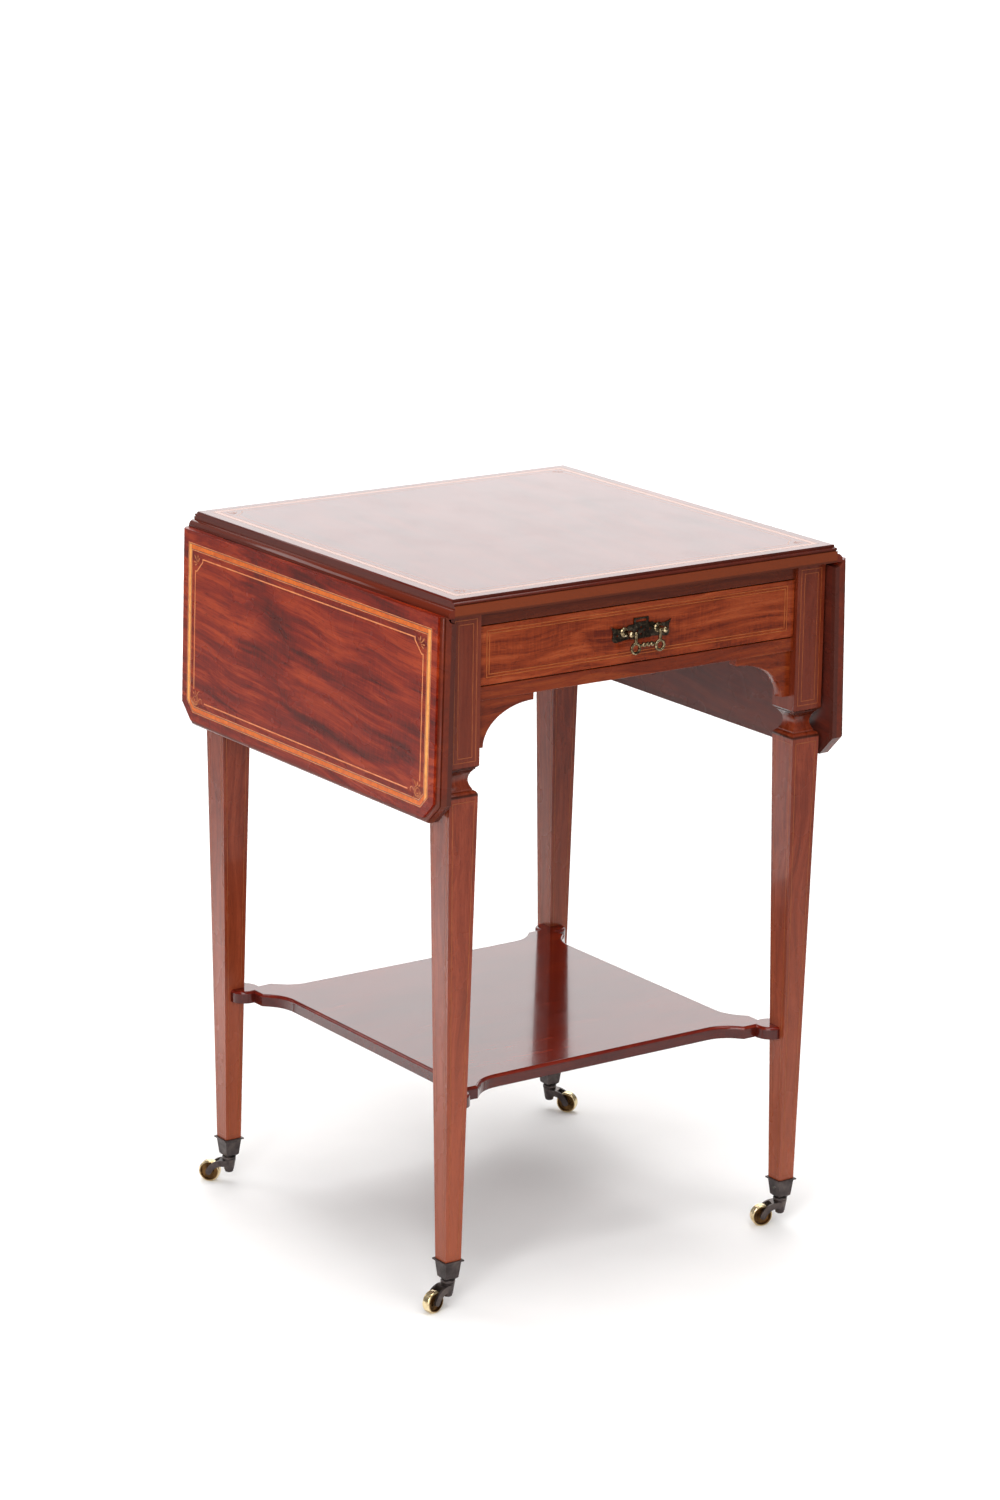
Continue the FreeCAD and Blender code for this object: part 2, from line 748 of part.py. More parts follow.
def castor_cup():
    chamfer_z = castor_cup_base_z + castor_cup_chamfer
    flange = leg_foot / 2 + castor_flange_lip
    flange_z = castor_flange_z - castor_flange_thickness
    body = [tapered(cup_bore_at(chamfer_z) + castor_cup_wall - castor_cup_chamfer, castor_cup_base_z,
                    cup_bore_at(chamfer_z) + castor_cup_wall, chamfer_z),
            tapered(cup_bore_at(chamfer_z) + castor_cup_wall, chamfer_z,
                    cup_bore_at(castor_flange_z) + castor_cup_wall, castor_flange_z),
            block((-flange, flange), (-flange, flange), (flange_z, castor_flange_z))]
    floor_z = castor_cup_base_z + castor_cup_floor
    socket = tapered(cup_bore_at(floor_z), floor_z, cup_bore_at(castor_flange_z), castor_flange_z)
    return joined(body).cut(socket)


def castor_spindle():
    """Riveted at both ends, its upper head inside the cup, its lower head under the fork."""
    top_z = castor_cup_base_z + castor_cup_floor
    neck_z = castor_rivet_z + castor_rivet_thickness
    path = [(0, castor_rivet_z), (castor_rivet_radius - castor_edge, castor_rivet_z),
            (castor_rivet_radius, castor_rivet_z + castor_edge), (castor_rivet_radius, neck_z),
            (castor_spindle_radius, neck_z), (castor_spindle_radius, top_z), (castor_rivet_radius, top_z),
            (castor_rivet_radius, top_z + castor_rivet_thickness), (0, top_z + castor_rivet_thickness)]
    return lathe(path, origin, up)


axle_point = (castor_trail, castor_wheel_radius)
fork_bottom_z = castor_rivet_z + castor_rivet_thickness + castor_play
fork_top_z = castor_cup_base_z - castor_play
fork_half_width = castor_wheel_width / 2 + castor_play + castor_cheek


def horn_outline():
    """Side of the horn: an even band that leaves the barrel level and bends down round the axle."""
    boss = castor_horn / 2
    run = axle_point[0] - castor_horn_knee
    drop = castor_horn_top_z - axle_point[1]
    outer = (run ** 2 + drop ** 2 - boss ** 2) / (2 * (drop - boss))
    inner = outer - castor_horn
    bend = (castor_horn_knee, castor_horn_top_z - outer)
    end = math.degrees(math.atan2(outer - drop, run))
    middle = (90 + end) / 2
    return [(0, castor_horn_top_z), (castor_horn_knee, castor_horn_top_z),
            (arc_point(bend, outer, middle), arc_point(bend, outer, end)),
            (arc_point(axle_point, boss, end - 90), arc_point(bend, inner, end)),
            (arc_point(bend, inner, middle), arc_point(bend, inner, 90)),
            (0, castor_horn_top_z - castor_horn)]


def castor_fork():
    """Cast fork: a conical barrel round the spindle, a collar on it, and a horn slotted for the wheel."""
    collar_z = fork_top_z - castor_collar_height
    barrel_z = collar_z - castor_groove_height
    barrel = lathe([(0, fork_bottom_z), (castor_barrel_foot, fork_bottom_z), (castor_barrel_radius, barrel_z),
                    (castor_groove_radius, barrel_z), (castor_groove_radius, collar_z),
                    (castor_collar_radius, collar_z), (castor_collar_radius, fork_top_z - castor_edge),
                    (castor_collar_radius - castor_edge, fork_top_z), (0, fork_top_z)], origin, up)
    horn = prism_y(horn_outline(), -fork_half_width, fork_half_width)
    slot = castor_wheel_width / 2 + castor_play
    openings = [block((castor_slot_start, 2 * castor_trail), (-slot, slot), (0, fork_top_z)),
                rod(castor_spindle_radius + running_clearance, origin, up, castor_flange_z),
                castor_axle()]
    return joined([barrel, horn]).cut(openings)


def castor_axle():
    return rod(castor_axle_radius, Vector(axle_point[0], -fork_half_width, axle_point[1]), Vector(0, 1, 0),
               2 * fork_half_width)


def castor_wheel():
    """Turned wheel with a hub and a thick rim, both faces sunk between them."""
    half = castor_wheel_width / 2
    bore = castor_axle_radius + running_clearance
    hub = castor_hub
    tread = castor_wheel_radius
    rim = tread - castor_rim
    web = half - castor_web_recess
    turn = castor_tread_round
    near = (tread - turn, turn - half)
    far = (tread - turn, half - turn)
    path = [(bore, -half), (hub, -half), (hub, -web), (rim, -web), (rim, -half), (tread - turn, -half),
            (arc_point(near, turn, -45), arc_point(near, turn, 0)), (tread, half - turn),
            (arc_point(far, turn, 45), arc_point(far, turn, 90)),
            (rim, half), (rim, web), (hub, web), (hub, half), (bore, half)]
    return lathe(path, Vector(axle_point[0], 0, axle_point[1]), Vector(0, 1, 0))


def cup_screw():
    """Driven through the cup wall into the foot of the leg, on the side towards the middle of the table."""
    z = (castor_flange_z + castor_cup_base_z + castor_cup_floor) / 2
    return screw(Vector(cup_bore_at(z) + castor_cup_wall, 0, z), Vector(-1, 0, 0), cup_screw_length)


cups = []
spindles = []
cup_screws = []
leg_blank = common_of([leg_side(degrees) for degrees in (0, 90, 180, 270)])
for name, (sx, sy) in corners.items():
    corner = Vector(sx * leg_x, sy * leg_y, 0)
    fastener = turned_z(cup_screw(), 0 if sx < 0 else 180)
    cup = castor_cup().cut([castor_spindle(), fastener])
    for solids, piece in ((cups, cup), (spindles, castor_spindle()), (cup_screws, fastener)):
        piece.translate(corner)
        solids.append(piece)
    moving = {"castor_fork_": [castor_fork(), castor_axle()], "castor_wheel_": [castor_wheel()]}
    for node, solids in moving.items():
        moved = [turned_z(solid, castor_yaw_deg[name]) for solid in solids]
        for solid in moved:
            solid.translate(corner)
        add(node + name, moved)
    leg = leg_blank.copy()
    leg.translate(corner)
    rails = [drawer_top_rail, drawer_lower_rail, back_rail, side_rail, side_rail_left]
    add("leg_" + name, leg.cut(rails + dowels + [cup_screws[-1]]))
add("castor_cups", cups)
add("castor_spindles", spindles)
add("castor_cup_screws", cup_screws)
shelf = shelf_blank.cut([parts["leg_" + name][0] for name in corners] + dowels)
add("shelf", shelf)


# Fly brackets: a fixed block on each side rail and an arm, hinged on a knuckle of wooden fingers
fly_x = (side_rail_outer_x, leg_outer_x - fly_face_setback)
fly_barrel = (fly_x[1] - fly_x[0] - fly_gap) / 2
fly_pin_x = fly_x[1] - fly_barrel
fly_z = (underside_z - fly_top_gap - fly_height, underside_z - fly_top_gap)
fly_root = fly_barrel + fly_gap


def fly_finger(index, direction):
    """One finger of the knuckle, reaching from the pin to the wood on its own side."""
    pitch = fly_height / fly_fingers
    z = (fly_z[0] + index * pitch + fly_gap / 2, fly_z[0] + (index + 1) * pitch - fly_gap / 2)
    barrel = rod(fly_barrel, Vector(fly_pin_x, 0, z[0]), up, z[1] - z[0])
    tongue = block((fly_pin_x - fly_barrel, fly_x[1]), sorted((0, direction * fly_root)), z)
    bore = rod(fly_pin_radius + running_clearance, Vector(fly_pin_x, 0, fly_z[0]), up, fly_height)
    return joined([barrel, tongue]).cut(bore)


def fly_arm():
    """Arm that swings out under the leaf, its underside shaped in an ogee to a thin tip."""
    tip_z = fly_z[1] - fly_tip_height
    turn = (-fly_arm_length * 2 / 3, (fly_z[0] + tip_z) / 2)
    root = (-fly_arm_length / 3, fly_z[0])
    tip = (-fly_arm_length, tip_z)
    sag = (tip_z - fly_z[0]) / 10
    path = [(-fly_root, fly_z[0]), root, (((root[0] + turn[0]) / 2, (root[1] + turn[1]) / 2 - sag), turn),
            (((turn[0] + tip[0]) / 2, (turn[1] + tip[1]) / 2 + sag), tip), (tip[0], fly_z[1]),
            (-fly_root, fly_z[1])]
    body = prism_x(path, fly_pin_x - fly_barrel, fly_x[1])
    fingers = [fly_finger(index, -1) for index in range(1, fly_fingers, 2)]
    return joined([body] + fingers)


def fly_block():
    body = block(fly_x, (fly_root, leg_inner_y), fly_z)
    fingers = [fly_finger(index, 1) for index in range(0, fly_fingers, 2)]
    return joined([body] + fingers)


fly_pin = rod(fly_pin_radius, Vector(fly_pin_x, 0, fly_z[0]), up, fly_height)
add("fly_bracket_right", fly_arm())
add("fly_bracket_left", mirrored_x(fly_arm()))
add("fly_blocks", [fly_block(), mirrored_x(fly_block())])
add("fly_pins", [fly_pin, mirrored_x(fly_pin)])


# Drawer: lapped dovetails at the front, through dovetails at the back, bottom slid into grooves
drawer_half = leg_inner_x - drawer_side_gap
drawer_z = (opening_bottom_z + drawer_run_gap, opening_top_z - drawer_top_gap)
drawer_front_y = (-rail_face_y, drawer_front_thickness - rail_face_y)
drawer_front_z = (drawer_z[0] + drawer_front_lift, drawer_z[1])
drawer_back_y = (back_rail_y[0] - drawer_back_gap - drawer_wall, back_rail_y[0] - drawer_back_gap)
bottom_z = (drawer_z[0] + drawer_bottom_rise, drawer_z[0] + drawer_bottom_rise + drawer_bottom_thickness)


def tails(root_y, end_y, z):
    """Dovetails standing on the end of a drawer side, wider at their ends."""
    pitch = (z[1] - z[0]) / tail_count
    half_root = tail_share * pitch / 2
    half_end = half_root + tail_slope * abs(end_y - root_y)
    solids = []
    for index in range(tail_count):
        middle = z[0] + (index + 0.5) * pitch
        path = [(root_y, middle - half_root), (end_y, middle - half_end),
                (end_y, middle + half_end), (root_y, middle + half_root)]
        solids.append(prism_x(path, drawer_half - drawer_wall, drawer_half))
    return solids


bottom_half = drawer_half - drawer_wall + drawer_groove
bottom_y = (drawer_front_y[1] - drawer_groove, drawer_back_y[1])
drawer_bottom = block((-bottom_half, bottom_half), bottom_y, bottom_z)
side_body = block((drawer_half - drawer_wall, drawer_half), (drawer_front_y[1], drawer_back_y[0]), drawer_z)
back_board_z = (bottom_z[1], drawer_z[1] - drawer_back_drop)
front_tails = tails(drawer_front_y[1], drawer_front_y[0] + drawer_lap, drawer_z)
back_tails = tails(drawer_back_y[0], drawer_back_y[1], back_board_z)
drawer_side = joined([side_body] + front_tails + back_tails).cut(drawer_bottom)
drawer_side_left = mirrored_x(drawer_side)
drawer_back = block((-drawer_half, drawer_half), drawer_back_y, back_board_z)
drawer_back = drawer_back.cut([drawer_side, drawer_side_left])
add("drawer_side_right", drawer_side)
add("drawer_side_left", drawer_side_left)
add("drawer_back", drawer_back)
add("drawer_bottom", drawer_bottom)


def front_frame(inward):
    """Rectangular outline on the drawer front, in x and z, drawn in from the outer string."""
    x = drawer_half - drawer_string_side - inward
    z = (drawer_front_z[0] + drawer_string_foot + inward, drawer_front_z[1] - drawer_string_head - inward)
    return [(-x, z[0]), (x, z[0]), (x, z[1]), (-x, z[1])]


def front_string(inward):
    y = (drawer_front_y[0], drawer_front_y[0] + inlay_depth)
    return prism_y(front_frame(inward), *y).cut(prism_y(front_frame(inward + drawer_string_width), *y))


drawer_strings = [front_string(inward) for inward in (0, drawer_string_spacing)]
add("drawer_stringing", drawer_strings)


# Handle: pierced plate, two posts bolted through the drawer front, and a swinging bail
handle_z = (drawer_z[0] + drawer_z[1]) / 2 + handle_rise
plate_back_y = drawer_front_y[0]
plate_face_y = plate_back_y - handle_plate_thickness
pivot_y = plate_face_y - handle_post_reach
post_xs = (-handle_post_spacing / 2, handle_post_spacing / 2)
forward = Vector(0, -1, 0)


def on_plate(step):
    """A point or an arc of the plate, from shares of its size to x and z."""
    if isinstance(step[0], tuple):
        return tuple(on_plate(point) for point in step)
    z = handle_z + (step[1] - handle_plate_below) * handle_plate_height
    return (step[0] * handle_plate_width / 2, z)


def handle_plate():
    """Thin cast plate: winged sides, a stepped middle with an open loop above, and pierced holes."""
    half = prism_y([on_plate(step) for step in handle_plate_outline], plate_face_y, plate_back_y)
    openings = [prism_y([on_plate(point) for point in handle_plate_window], plate_face_y, plate_back_y)]
    for point in handle_plate_holes:
        x, z = on_plate(point)
        openings.append(plate_hole(handle_plate_hole_radius, x, z))
    for x in post_xs:
        openings.append(plate_hole(handle_bolt_radius, x, handle_z))
    return joined([half, mirrored_x(half)]).cut(openings)


def plate_hole(radius, x, z):
    return rod(radius, Vector(x, plate_face_y, z), Vector(0, 1, 0), handle_plate_thickness)


def handle_post(x):
    """Rosette, stem and ball, turned in one piece with the bolt; the ball is drilled for the bail."""
    bolt = handle_plate_thickness + drawer_front_thickness + handle_nut_thickness + handle_bolt_end
    rosette = handle_rosette_radius
    edge = handle_rosette_edge
    path = [(0, -bolt), (handle_bolt_radius, -bolt), (handle_bolt_radius, 0), (rosette, 0), (rosette, edge),
            (rosette - edge, 2 * edge), (handle_post_radius, 3 * edge),
            (handle_post_radius, handle_post_reach), (0, handle_post_reach)]
    turned = lathe(path, Vector(x, plate_face_y, handle_z), forward)
    ball = Part.makeSphere(handle_ball_radius, Vector(x, pivot_y, handle_z))
    eye_start = Vector(x - handle_ball_radius, pivot_y, handle_z)
    eye = rod(bail_pivot_radius + handle_play, eye_start, Vector(1, 0, 0), 2 * handle_ball_radius)
    return joined([turned, ball]).cut(eye)


def handle_nut(x):
    half = handle_nut_size / 2
    y = (drawer_front_y[1], drawer_front_y[1] + handle_nut_thickness)
    nut = block((x - half, x + half), y, (handle_z - half, handle_z + half))
    return nut.cut(rod(handle_bolt_radius, Vector(x, y[0], handle_z), Vector(0, 1, 0), handle_nut_thickness))


def handle_bail():
    """Two pivots, two straight necks that end in rings, and a beaded grip between the rings."""
    neck_x = handle_post_spacing / 2 - handle_ball_radius - bail_knob_radius - drawer_run_gap
    ring_z = handle_z - bail_drop
    solids = []
    for side in (-1, 1):
        pivot_start = Vector(side * neck_x, pivot_y, handle_z)
        pivot_length = handle_post_spacing / 2 + handle_ball_radius - neck_x
        solids.append(rod(bail_pivot_radius, pivot_start, Vector(side, 0, 0), pivot_length))
        solids.append(Part.makeSphere(bail_knob_radius, pivot_start))
        solids.append(rod(bail_neck_radius, pivot_start, -up, bail_drop - bail_ring_radius))
        ring_centre = Vector(side * neck_x, pivot_y, ring_z)
        solids.append(Part.makeTorus(bail_ring_radius, bail_wire, ring_centre, forward))
    grip = 2 * (neck_x - math.sqrt(bail_ring_radius ** 2 - bail_grip_rise ** 2))
    grip_start = Vector(-grip / 2, pivot_y, ring_z + bail_grip_rise)
    solids.append(lathe(grip_profile(grip), grip_start, Vector(1, 0, 0)))
    return joined(solids)


def grip_profile(length):
    """Turned bar with a row of rounded beads in its middle."""
    pitch = 2 * bail_bead_radius
    start = (length - bail_bead_count * pitch) / 2
    path = [(0, 0), (bail_grip_radius, 0), (bail_grip_radius, start)]
    for index in range(bail_bead_count):
        z = start + index * pitch
        path.append(((bail_bead_radius, z + pitch / 2), (bail_grip_radius, z + pitch)))
    return path + [(bail_grip_radius, length), (0, length)]


posts = [handle_post(x) for x in post_xs]
drawer_front = block((-drawer_half, drawer_half), drawer_front_y, drawer_front_z)
add("drawer_front", drawer_front.cut([drawer_side, drawer_side_left, drawer_bottom] + drawer_strings + posts))
add("handle_backplate", handle_plate())
add("handle_posts", posts)
add("handle_nuts", [handle_nut(x) for x in post_xs])
add("handle_bail", handle_bail())


# One file for each node
os.makedirs("parts", exist_ok=True)
for node, solids in parts.items():
    shape = solids[0] if len(solids) == 1 else Part.makeCompound(solids)
    shape.exportStep("parts/" + node + ".step")
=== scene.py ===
import json
import math

import bmesh
import bpy
from mathutils import Matrix, Vector


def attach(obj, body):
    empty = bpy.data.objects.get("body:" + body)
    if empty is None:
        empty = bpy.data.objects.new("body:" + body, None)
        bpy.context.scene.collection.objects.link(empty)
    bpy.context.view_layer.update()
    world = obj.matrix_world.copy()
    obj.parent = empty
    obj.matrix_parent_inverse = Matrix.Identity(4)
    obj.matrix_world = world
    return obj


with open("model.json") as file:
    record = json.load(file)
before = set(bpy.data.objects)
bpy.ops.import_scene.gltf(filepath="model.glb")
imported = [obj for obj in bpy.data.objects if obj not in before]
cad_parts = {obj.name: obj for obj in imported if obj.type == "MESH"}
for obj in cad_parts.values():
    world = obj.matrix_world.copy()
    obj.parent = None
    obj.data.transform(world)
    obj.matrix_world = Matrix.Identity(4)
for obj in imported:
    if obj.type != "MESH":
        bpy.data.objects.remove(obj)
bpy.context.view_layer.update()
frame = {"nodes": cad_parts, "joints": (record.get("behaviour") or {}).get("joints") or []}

# Four legs, each cut from one square length of solid mahogany: a plain block at the top for the tenons, a
# square collar worked with a scotia and fillets, then a long straight taper down to the castor. The grain
# runs the length of the leg, under a thin gloss of French polish.
mm = 0.001
corners = {"front_left": (-1, -1), "front_right": (1, -1), "back_left": (-1, 1), "back_right": (1, 1)}
legs = ["leg_" + name for name in corners]
grain_z = (0.0, math.radians(90), 0.0)
wood_ior = 1.5
bare_mirror, full_mirror = 0.18, 0.5
noise_low, noise_high = 0.3, 0.7
drift_length, drift_width = 170 * mm, 34 * mm
arris_angle = 40
seam_gap = 0.004 * mm
# Painted shade on the block and in the fillets of the scotia, and painted light paler towards the foot.
fillet_shade = "#160805"
leg_shades = [((0, 0, 1), 545, 546, "#4f1a0c", 0.5), ((0, 0, -1), -420, -60, "#a85a3c", 0.45),
              ((0, 0, 1), 515.6, 516.6, fillet_shade, 0.75, 518.2, 519.6),
              ((0, 0, 1), 530, 541, fillet_shade, 0.75, 545.2, 546.2)]


def linear(hex_colour):
    """An sRGB hex colour as the linear colour that a shader socket takes."""
    parts = [int(hex_colour[i:i + 2], 16) / 255 for i in (1, 3, 5)]
    return [p / 12.92 if p <= 0.04045 else ((p + 0.055) / 1.055) ** 2.4 for p in parts] + [1.0]


def add_node(tree, kind, settings=None, links=None, ramp=None):
    """Adds a shader node, sets its properties and sockets, links its inputs and fills its colour ramp."""
    made = tree.nodes.new("ShaderNode" + kind)
    for key, value in (settings or {}).items():
        if isinstance(key, str) and key in made.bl_rna.properties:
            setattr(made, key, value)
        else:
            made.inputs[key].default_value = value
    for key, source in (links or {}).items():
        tree.links.new(source, made.inputs[key])
    for index, (place, colour) in enumerate(ramp or []):
        stops = made.color_ramp.elements
        stop = stops[index] if index < 2 else stops.new(place)
        stop.position = place
        stop.color = linear(colour)
    return made


def new_material(name):
    """An empty material with its shader joined to the output: returns the material, its tree and shader."""
    made = bpy.data.materials.new(name)
    made.use_nodes = True
    return made, made.node_tree, made.node_tree.nodes["Principled BSDF"]


def set_polish(shader, polish, coat_roughness):
    """The share of full French polish left on a wood: a clear coat over wood that mirrors less without it."""
    shader.inputs["IOR"].default_value = wood_ior
    shader.inputs["Specular IOR Level"].default_value = bare_mirror + (full_mirror - bare_mirror) * polish
    shader.inputs["Coat Weight"].default_value = polish
    shader.inputs["Coat Roughness"].default_value = coat_roughness


def polished_mahogany(name, grain_turn, tones, figure_mm, shares, gloss, polish, shades=()):
    """French-polished mahogany. grain_turn brings the grain to X, figure_mm is the length and width of the
    darker figure, and shares say how much the figure, the streaks and the cross ticks show. gloss is the
    roughness of the wood and polish the share of full French polish left on it. Each of shades is a
    direction away from the middle of the table, the place along it in mm where a colour starts and where it
    is full, the colour, its share, and for a band also where it starts to end and is gone: painted shade on
    a moulding, in a fillet or under an overhang, painted light towards the floor, plain wood on a hidden
    face, or a tint."""
    made, tree, shader = new_material(name)
    figure_share, streak_share, tick_share = shares
    fibre_share, pore_share = 0.1, 0.6
    dark_figure, light_figure = 0.4, 0.54
    place = add_node(tree, "TexCoord").outputs["Object"]
    turned = add_node(tree, "Mapping", {"Rotation": grain_turn}, {"Vector": place}).outputs[0]
    # The grain wanders a few millimetres to the side over the length of a hand.
    drift = add_node(tree, "TexNoise", {"Scale": 1 / drift_length, "Detail": 1.0},
                     {"Vector": turned}).outputs["Color"]
    middled = add_node(tree, "VectorMath", {"operation": "SUBTRACT", 1: (0.5, 0.5, 0.5)},
                       {0: drift}).outputs[0]
    aside = add_node(tree, "VectorMath", {"operation": "MULTIPLY", 1: (0.0, drift_width, drift_width)},
                     {0: middled}).outputs[0]
    grain = add_node(tree, "VectorMath", {"operation": "ADD"}, {0: turned, 1: aside}).outputs[0]
    # Length and width in mm, detail and distortion of each pattern: clouds of darker figure, long streaks,
    # short ticks across the grain, pores, wear, and fibres drawn 1 mm wide because the real ones, near
    # 0.2 mm, are too fine to show.
    patterns = {"figure": (figure_mm[0], figure_mm[1], 3.0, 0.9), "streak": (150, 6, 4.0, 0.6),
                "tick": (2.0, 16, 2.0, 0.5), "pore": (7, 0.5, 1.0, 0.0), "wear": (60, 45, 3.0, 0.0),
                "fibre": (38, 1.0, 3.0, 0.2)}
    seen = {}
    for part, (along, across, detail, distortion) in patterns.items():
        size = (1 / (along * mm), 1 / (across * mm), 1 / (across * mm))
        stretched = add_node(tree, "Mapping", {"Scale": size}, {"Vector": grain}).outputs[0]
        seen[part] = add_node(tree, "TexNoise", {"Scale": 1.0, "Detail": detail, "Distortion": distortion},
                              {"Vector": stretched}).outputs["Fac"]
    # The figure, streaks and fibres add up to a tone; the ticks show where the figure is dark.
    clouds = add_node(tree, "MapRange",
                      {1: noise_low, 2: noise_high, 3: 0.5 - figure_share, 4: 0.5 + figure_share},
                      {0: seen["figure"]}).outputs[0]
    bands = add_node(tree, "MapRange", {1: noise_low, 2: noise_high, 3: -streak_share, 4: streak_share},
                     {0: seen["streak"]}).outputs[0]
    threads = add_node(tree, "MapRange", {1: noise_low, 2: noise_high, 3: -fibre_share, 4: fibre_share},
                       {0: seen["fibre"]}).outputs[0]
    dark = add_node(tree, "MapRange",
                    {1: dark_figure, 2: light_figure, 3: tick_share, 4: 0.12 * tick_share},
                    {0: seen["figure"]}).outputs[0]
    middled_tick = add_node(tree, "Math", {"operation": "SUBTRACT", 1: 0.52}, {0: seen["tick"]}).outputs[0]
    banded = add_node(tree, "Math", {"operation": "ADD"}, {0: clouds, 1: bands}).outputs[0]
    threaded = add_node(tree, "Math", {"operation": "ADD"}, {0: banded, 1: threads}).outputs[0]
    ticked = add_node(tree, "Math", {"operation": "MULTIPLY_ADD"},
                      {0: middled_tick, 1: dark, 2: threaded}).outputs[0]
    colour = add_node(tree, "ValToRGB", {}, {0: ticked},
                      [(0.2, tones[0]), (0.8, tones[2]), (0.5, tones[1])]).outputs[0]
    fleck = add_node(tree, "ValToRGB", {}, {0: seen["pore"]},
                     [(0.27, "#6d5a55"), (0.39, "#ffffff")]).outputs[0]
    colour = add_node(tree, "Mix", {"data_type": "RGBA", "blend_type": "MULTIPLY", 0: pore_share},
                      {6: colour, 7: fleck}).outputs[2]
    outward = add_node(tree, "VectorMath", {"operation": "ABSOLUTE"}, {0: place}).outputs[0]
    for direction, start, full, shade, share, *end in shades:
        reach = add_node(tree, "VectorMath", {"operation": "DOT_PRODUCT", 1: direction},
                         {0: outward}).outputs[1]
        past = add_node(tree, "MapRange", {1: start * mm, 2: full * mm, 3: 0.0, 4: share},
                        {0: reach}).outputs[0]
        if end:
            remaining = add_node(tree, "MapRange", {1: end[0] * mm, 2: end[1] * mm, 3: 1.0, 4: 0.0},
                                 {0: reach}).outputs[0]
            past = add_node(tree, "Math", {"operation": "MULTIPLY"}, {0: past, 1: remaining}).outputs[0]
        colour = add_node(tree, "Mix", {"data_type": "RGBA", 7: linear(shade)},
                          {0: past, 6: colour}).outputs[2]
    tree.links.new(colour, shader.inputs["Base Color"])
    rough = add_node(tree, "MapRange", {1: noise_low, 2: noise_high, 3: gloss * 0.8, 4: gloss * 1.25},
                     {0: seen["wear"]}).outputs[0]
    tree.links.new(rough, shader.inputs["Roughness"])
    dent = add_node(tree, "Bump", {"Strength": 0.05, "Distance": 0.2 * mm},
                    {"Height": seen["fibre"]}).outputs[0]
    tree.links.new(dent, shader.inputs["Normal"])
    set_polish(shader, polish, 0.04)
    return made


def finish_nodes(material, *names):
    """Gives CAD pieces their material."""
    for name in names:
        for slot in frame["nodes"][name].material_slots:
            slot.material = material


def wear_edges(width, *names):
    """Rounds the sharp arrises of CAD pieces as polish and use do, so that they catch the light."""
    for name in names:
        node = frame["nodes"][name]
        seam = node.modifiers.new("closed seams", "WELD")
        seam.merge_threshold = seam_gap
        arris = node.modifiers.new("worn arrises", "BEVEL")
        arris.width = width
        arris.segments = 2
        arris.limit_method = "ANGLE"
        arris.angle_limit = math.radians(arris_angle)
        arris.harden_normals = True


leg_mahogany = polished_mahogany("French-polished mahogany, straight-grained legs", grain_z,
                                 tones=("#541908", "#722a14", "#883c24"), figure_mm=(190, 10),
                                 shares=(0.1, 0.16, 0.05), gloss=0.26, polish=0.15, shades=leg_shades)
finish_nodes(leg_mahogany, *legs)
wear_edges(0.5 * mm, *legs)

# Stringing on the legs: boxwood lines under a millimetre wide, glued into scratched grooves and scraped
# flush. A long frame follows the four faces of each taper, and two nested frames stand on the front and
# back of each block.
joints = {joint["name"]: joint for joint in frame["joints"]}
taper_top_half, taper_top_z = 16.4 * mm, 515.5 * mm
taper_foot_half, taper_foot_z = 9.0 * mm, 50.5 * mm
block_half, block_foot_z, block_head_z = 17 * mm, 546 * mm, 692 * mm
taper_inset = 3.6 * mm
block_insets = (4.2 * mm, 8.4 * mm)
line_width = 0.75 * mm
line_stand = 0.08 * mm


def boxwood(name, tones, polish):
    """Polished boxwood: pale, close and even, with faint streaks in clouds of 9 mm. The share of full polish
    left on it is that of the wood around it."""
    made, tree, shader = new_material(name)
    place = add_node(tree, "TexCoord").outputs["Object"]
    streak = add_node(tree, "TexNoise", {"Scale": 1 / (9 * mm), "Detail": 3.0},
                      {"Vector": place}).outputs["Fac"]
    colour = add_node(tree, "ValToRGB", {}, {0: streak}, [(0.3, tones[0]), (0.7, tones[1])]).outputs[0]
    tree.links.new(colour, shader.inputs["Base Color"])
    shader.inputs["Roughness"].default_value = 0.34
    set_polish(shader, polish, 0.09)
    return made


def deselect():
    """Leaves nothing selected, so that the next operator works on its own piece only."""
    bpy.ops.object.select_all(action="DESELECT")


def named(name):
    """Names the piece just made, and its mesh."""
    made = bpy.context.object
    made.name = name
    made.data.name = name
    return made


def pick(mesh_object, wanted):
    """In edit mode, selects the vertices that the test wants and what they span."""
    bpy.ops.mesh.select_mode(type="VERT")
    bpy.ops.mesh.select_all(action="DESELECT")
    shape = bmesh.from_edit_mesh(mesh_object.data)
    for vertex in shape.verts:
        vertex.select = wanted(vertex.co)
    shape.select_flush(True)
    bmesh.update_edit_mesh(mesh_object.data)


def front_plane(name, half_width, foot_z, head_z):
    """An upright plane on the front of a leg that stands on the origin, left open in edit mode."""
    deselect()
    middle = (0, -half_width, (foot_z + head_z) / 2)
    bpy.ops.mesh.primitive_plane_add(size=1, location=middle, rotation=(math.radians(90), 0, 0))
    bpy.ops.object.transform_apply(location=True, rotation=True, scale=True)
    made = named(name)
    bpy.ops.object.mode_set(mode="EDIT")
    bpy.ops.mesh.select_all(action="SELECT")
    bpy.ops.transform.resize(value=(2 * half_width, 1, head_z - foot_z), center_override=middle)
    return made


def line_frame(inset):
    """With one face open in edit mode, keeps a frame of line_width that lies inset from its edges."""
    bpy.ops.mesh.select_mode(type="FACE")
    bpy.ops.mesh.select_all(action="SELECT")
    bpy.ops.mesh.inset(thickness=inset, depth=0.0)
    bpy.ops.mesh.select_all(action="INVERT")
    bpy.ops.mesh.delete(type="FACE")
    bpy.ops.mesh.select_all(action="SELECT")
    bpy.ops.mesh.inset(thickness=line_width, depth=0.0)
    bpy.ops.mesh.delete(type="FACE")
    bpy.ops.object.mode_set(mode="OBJECT")


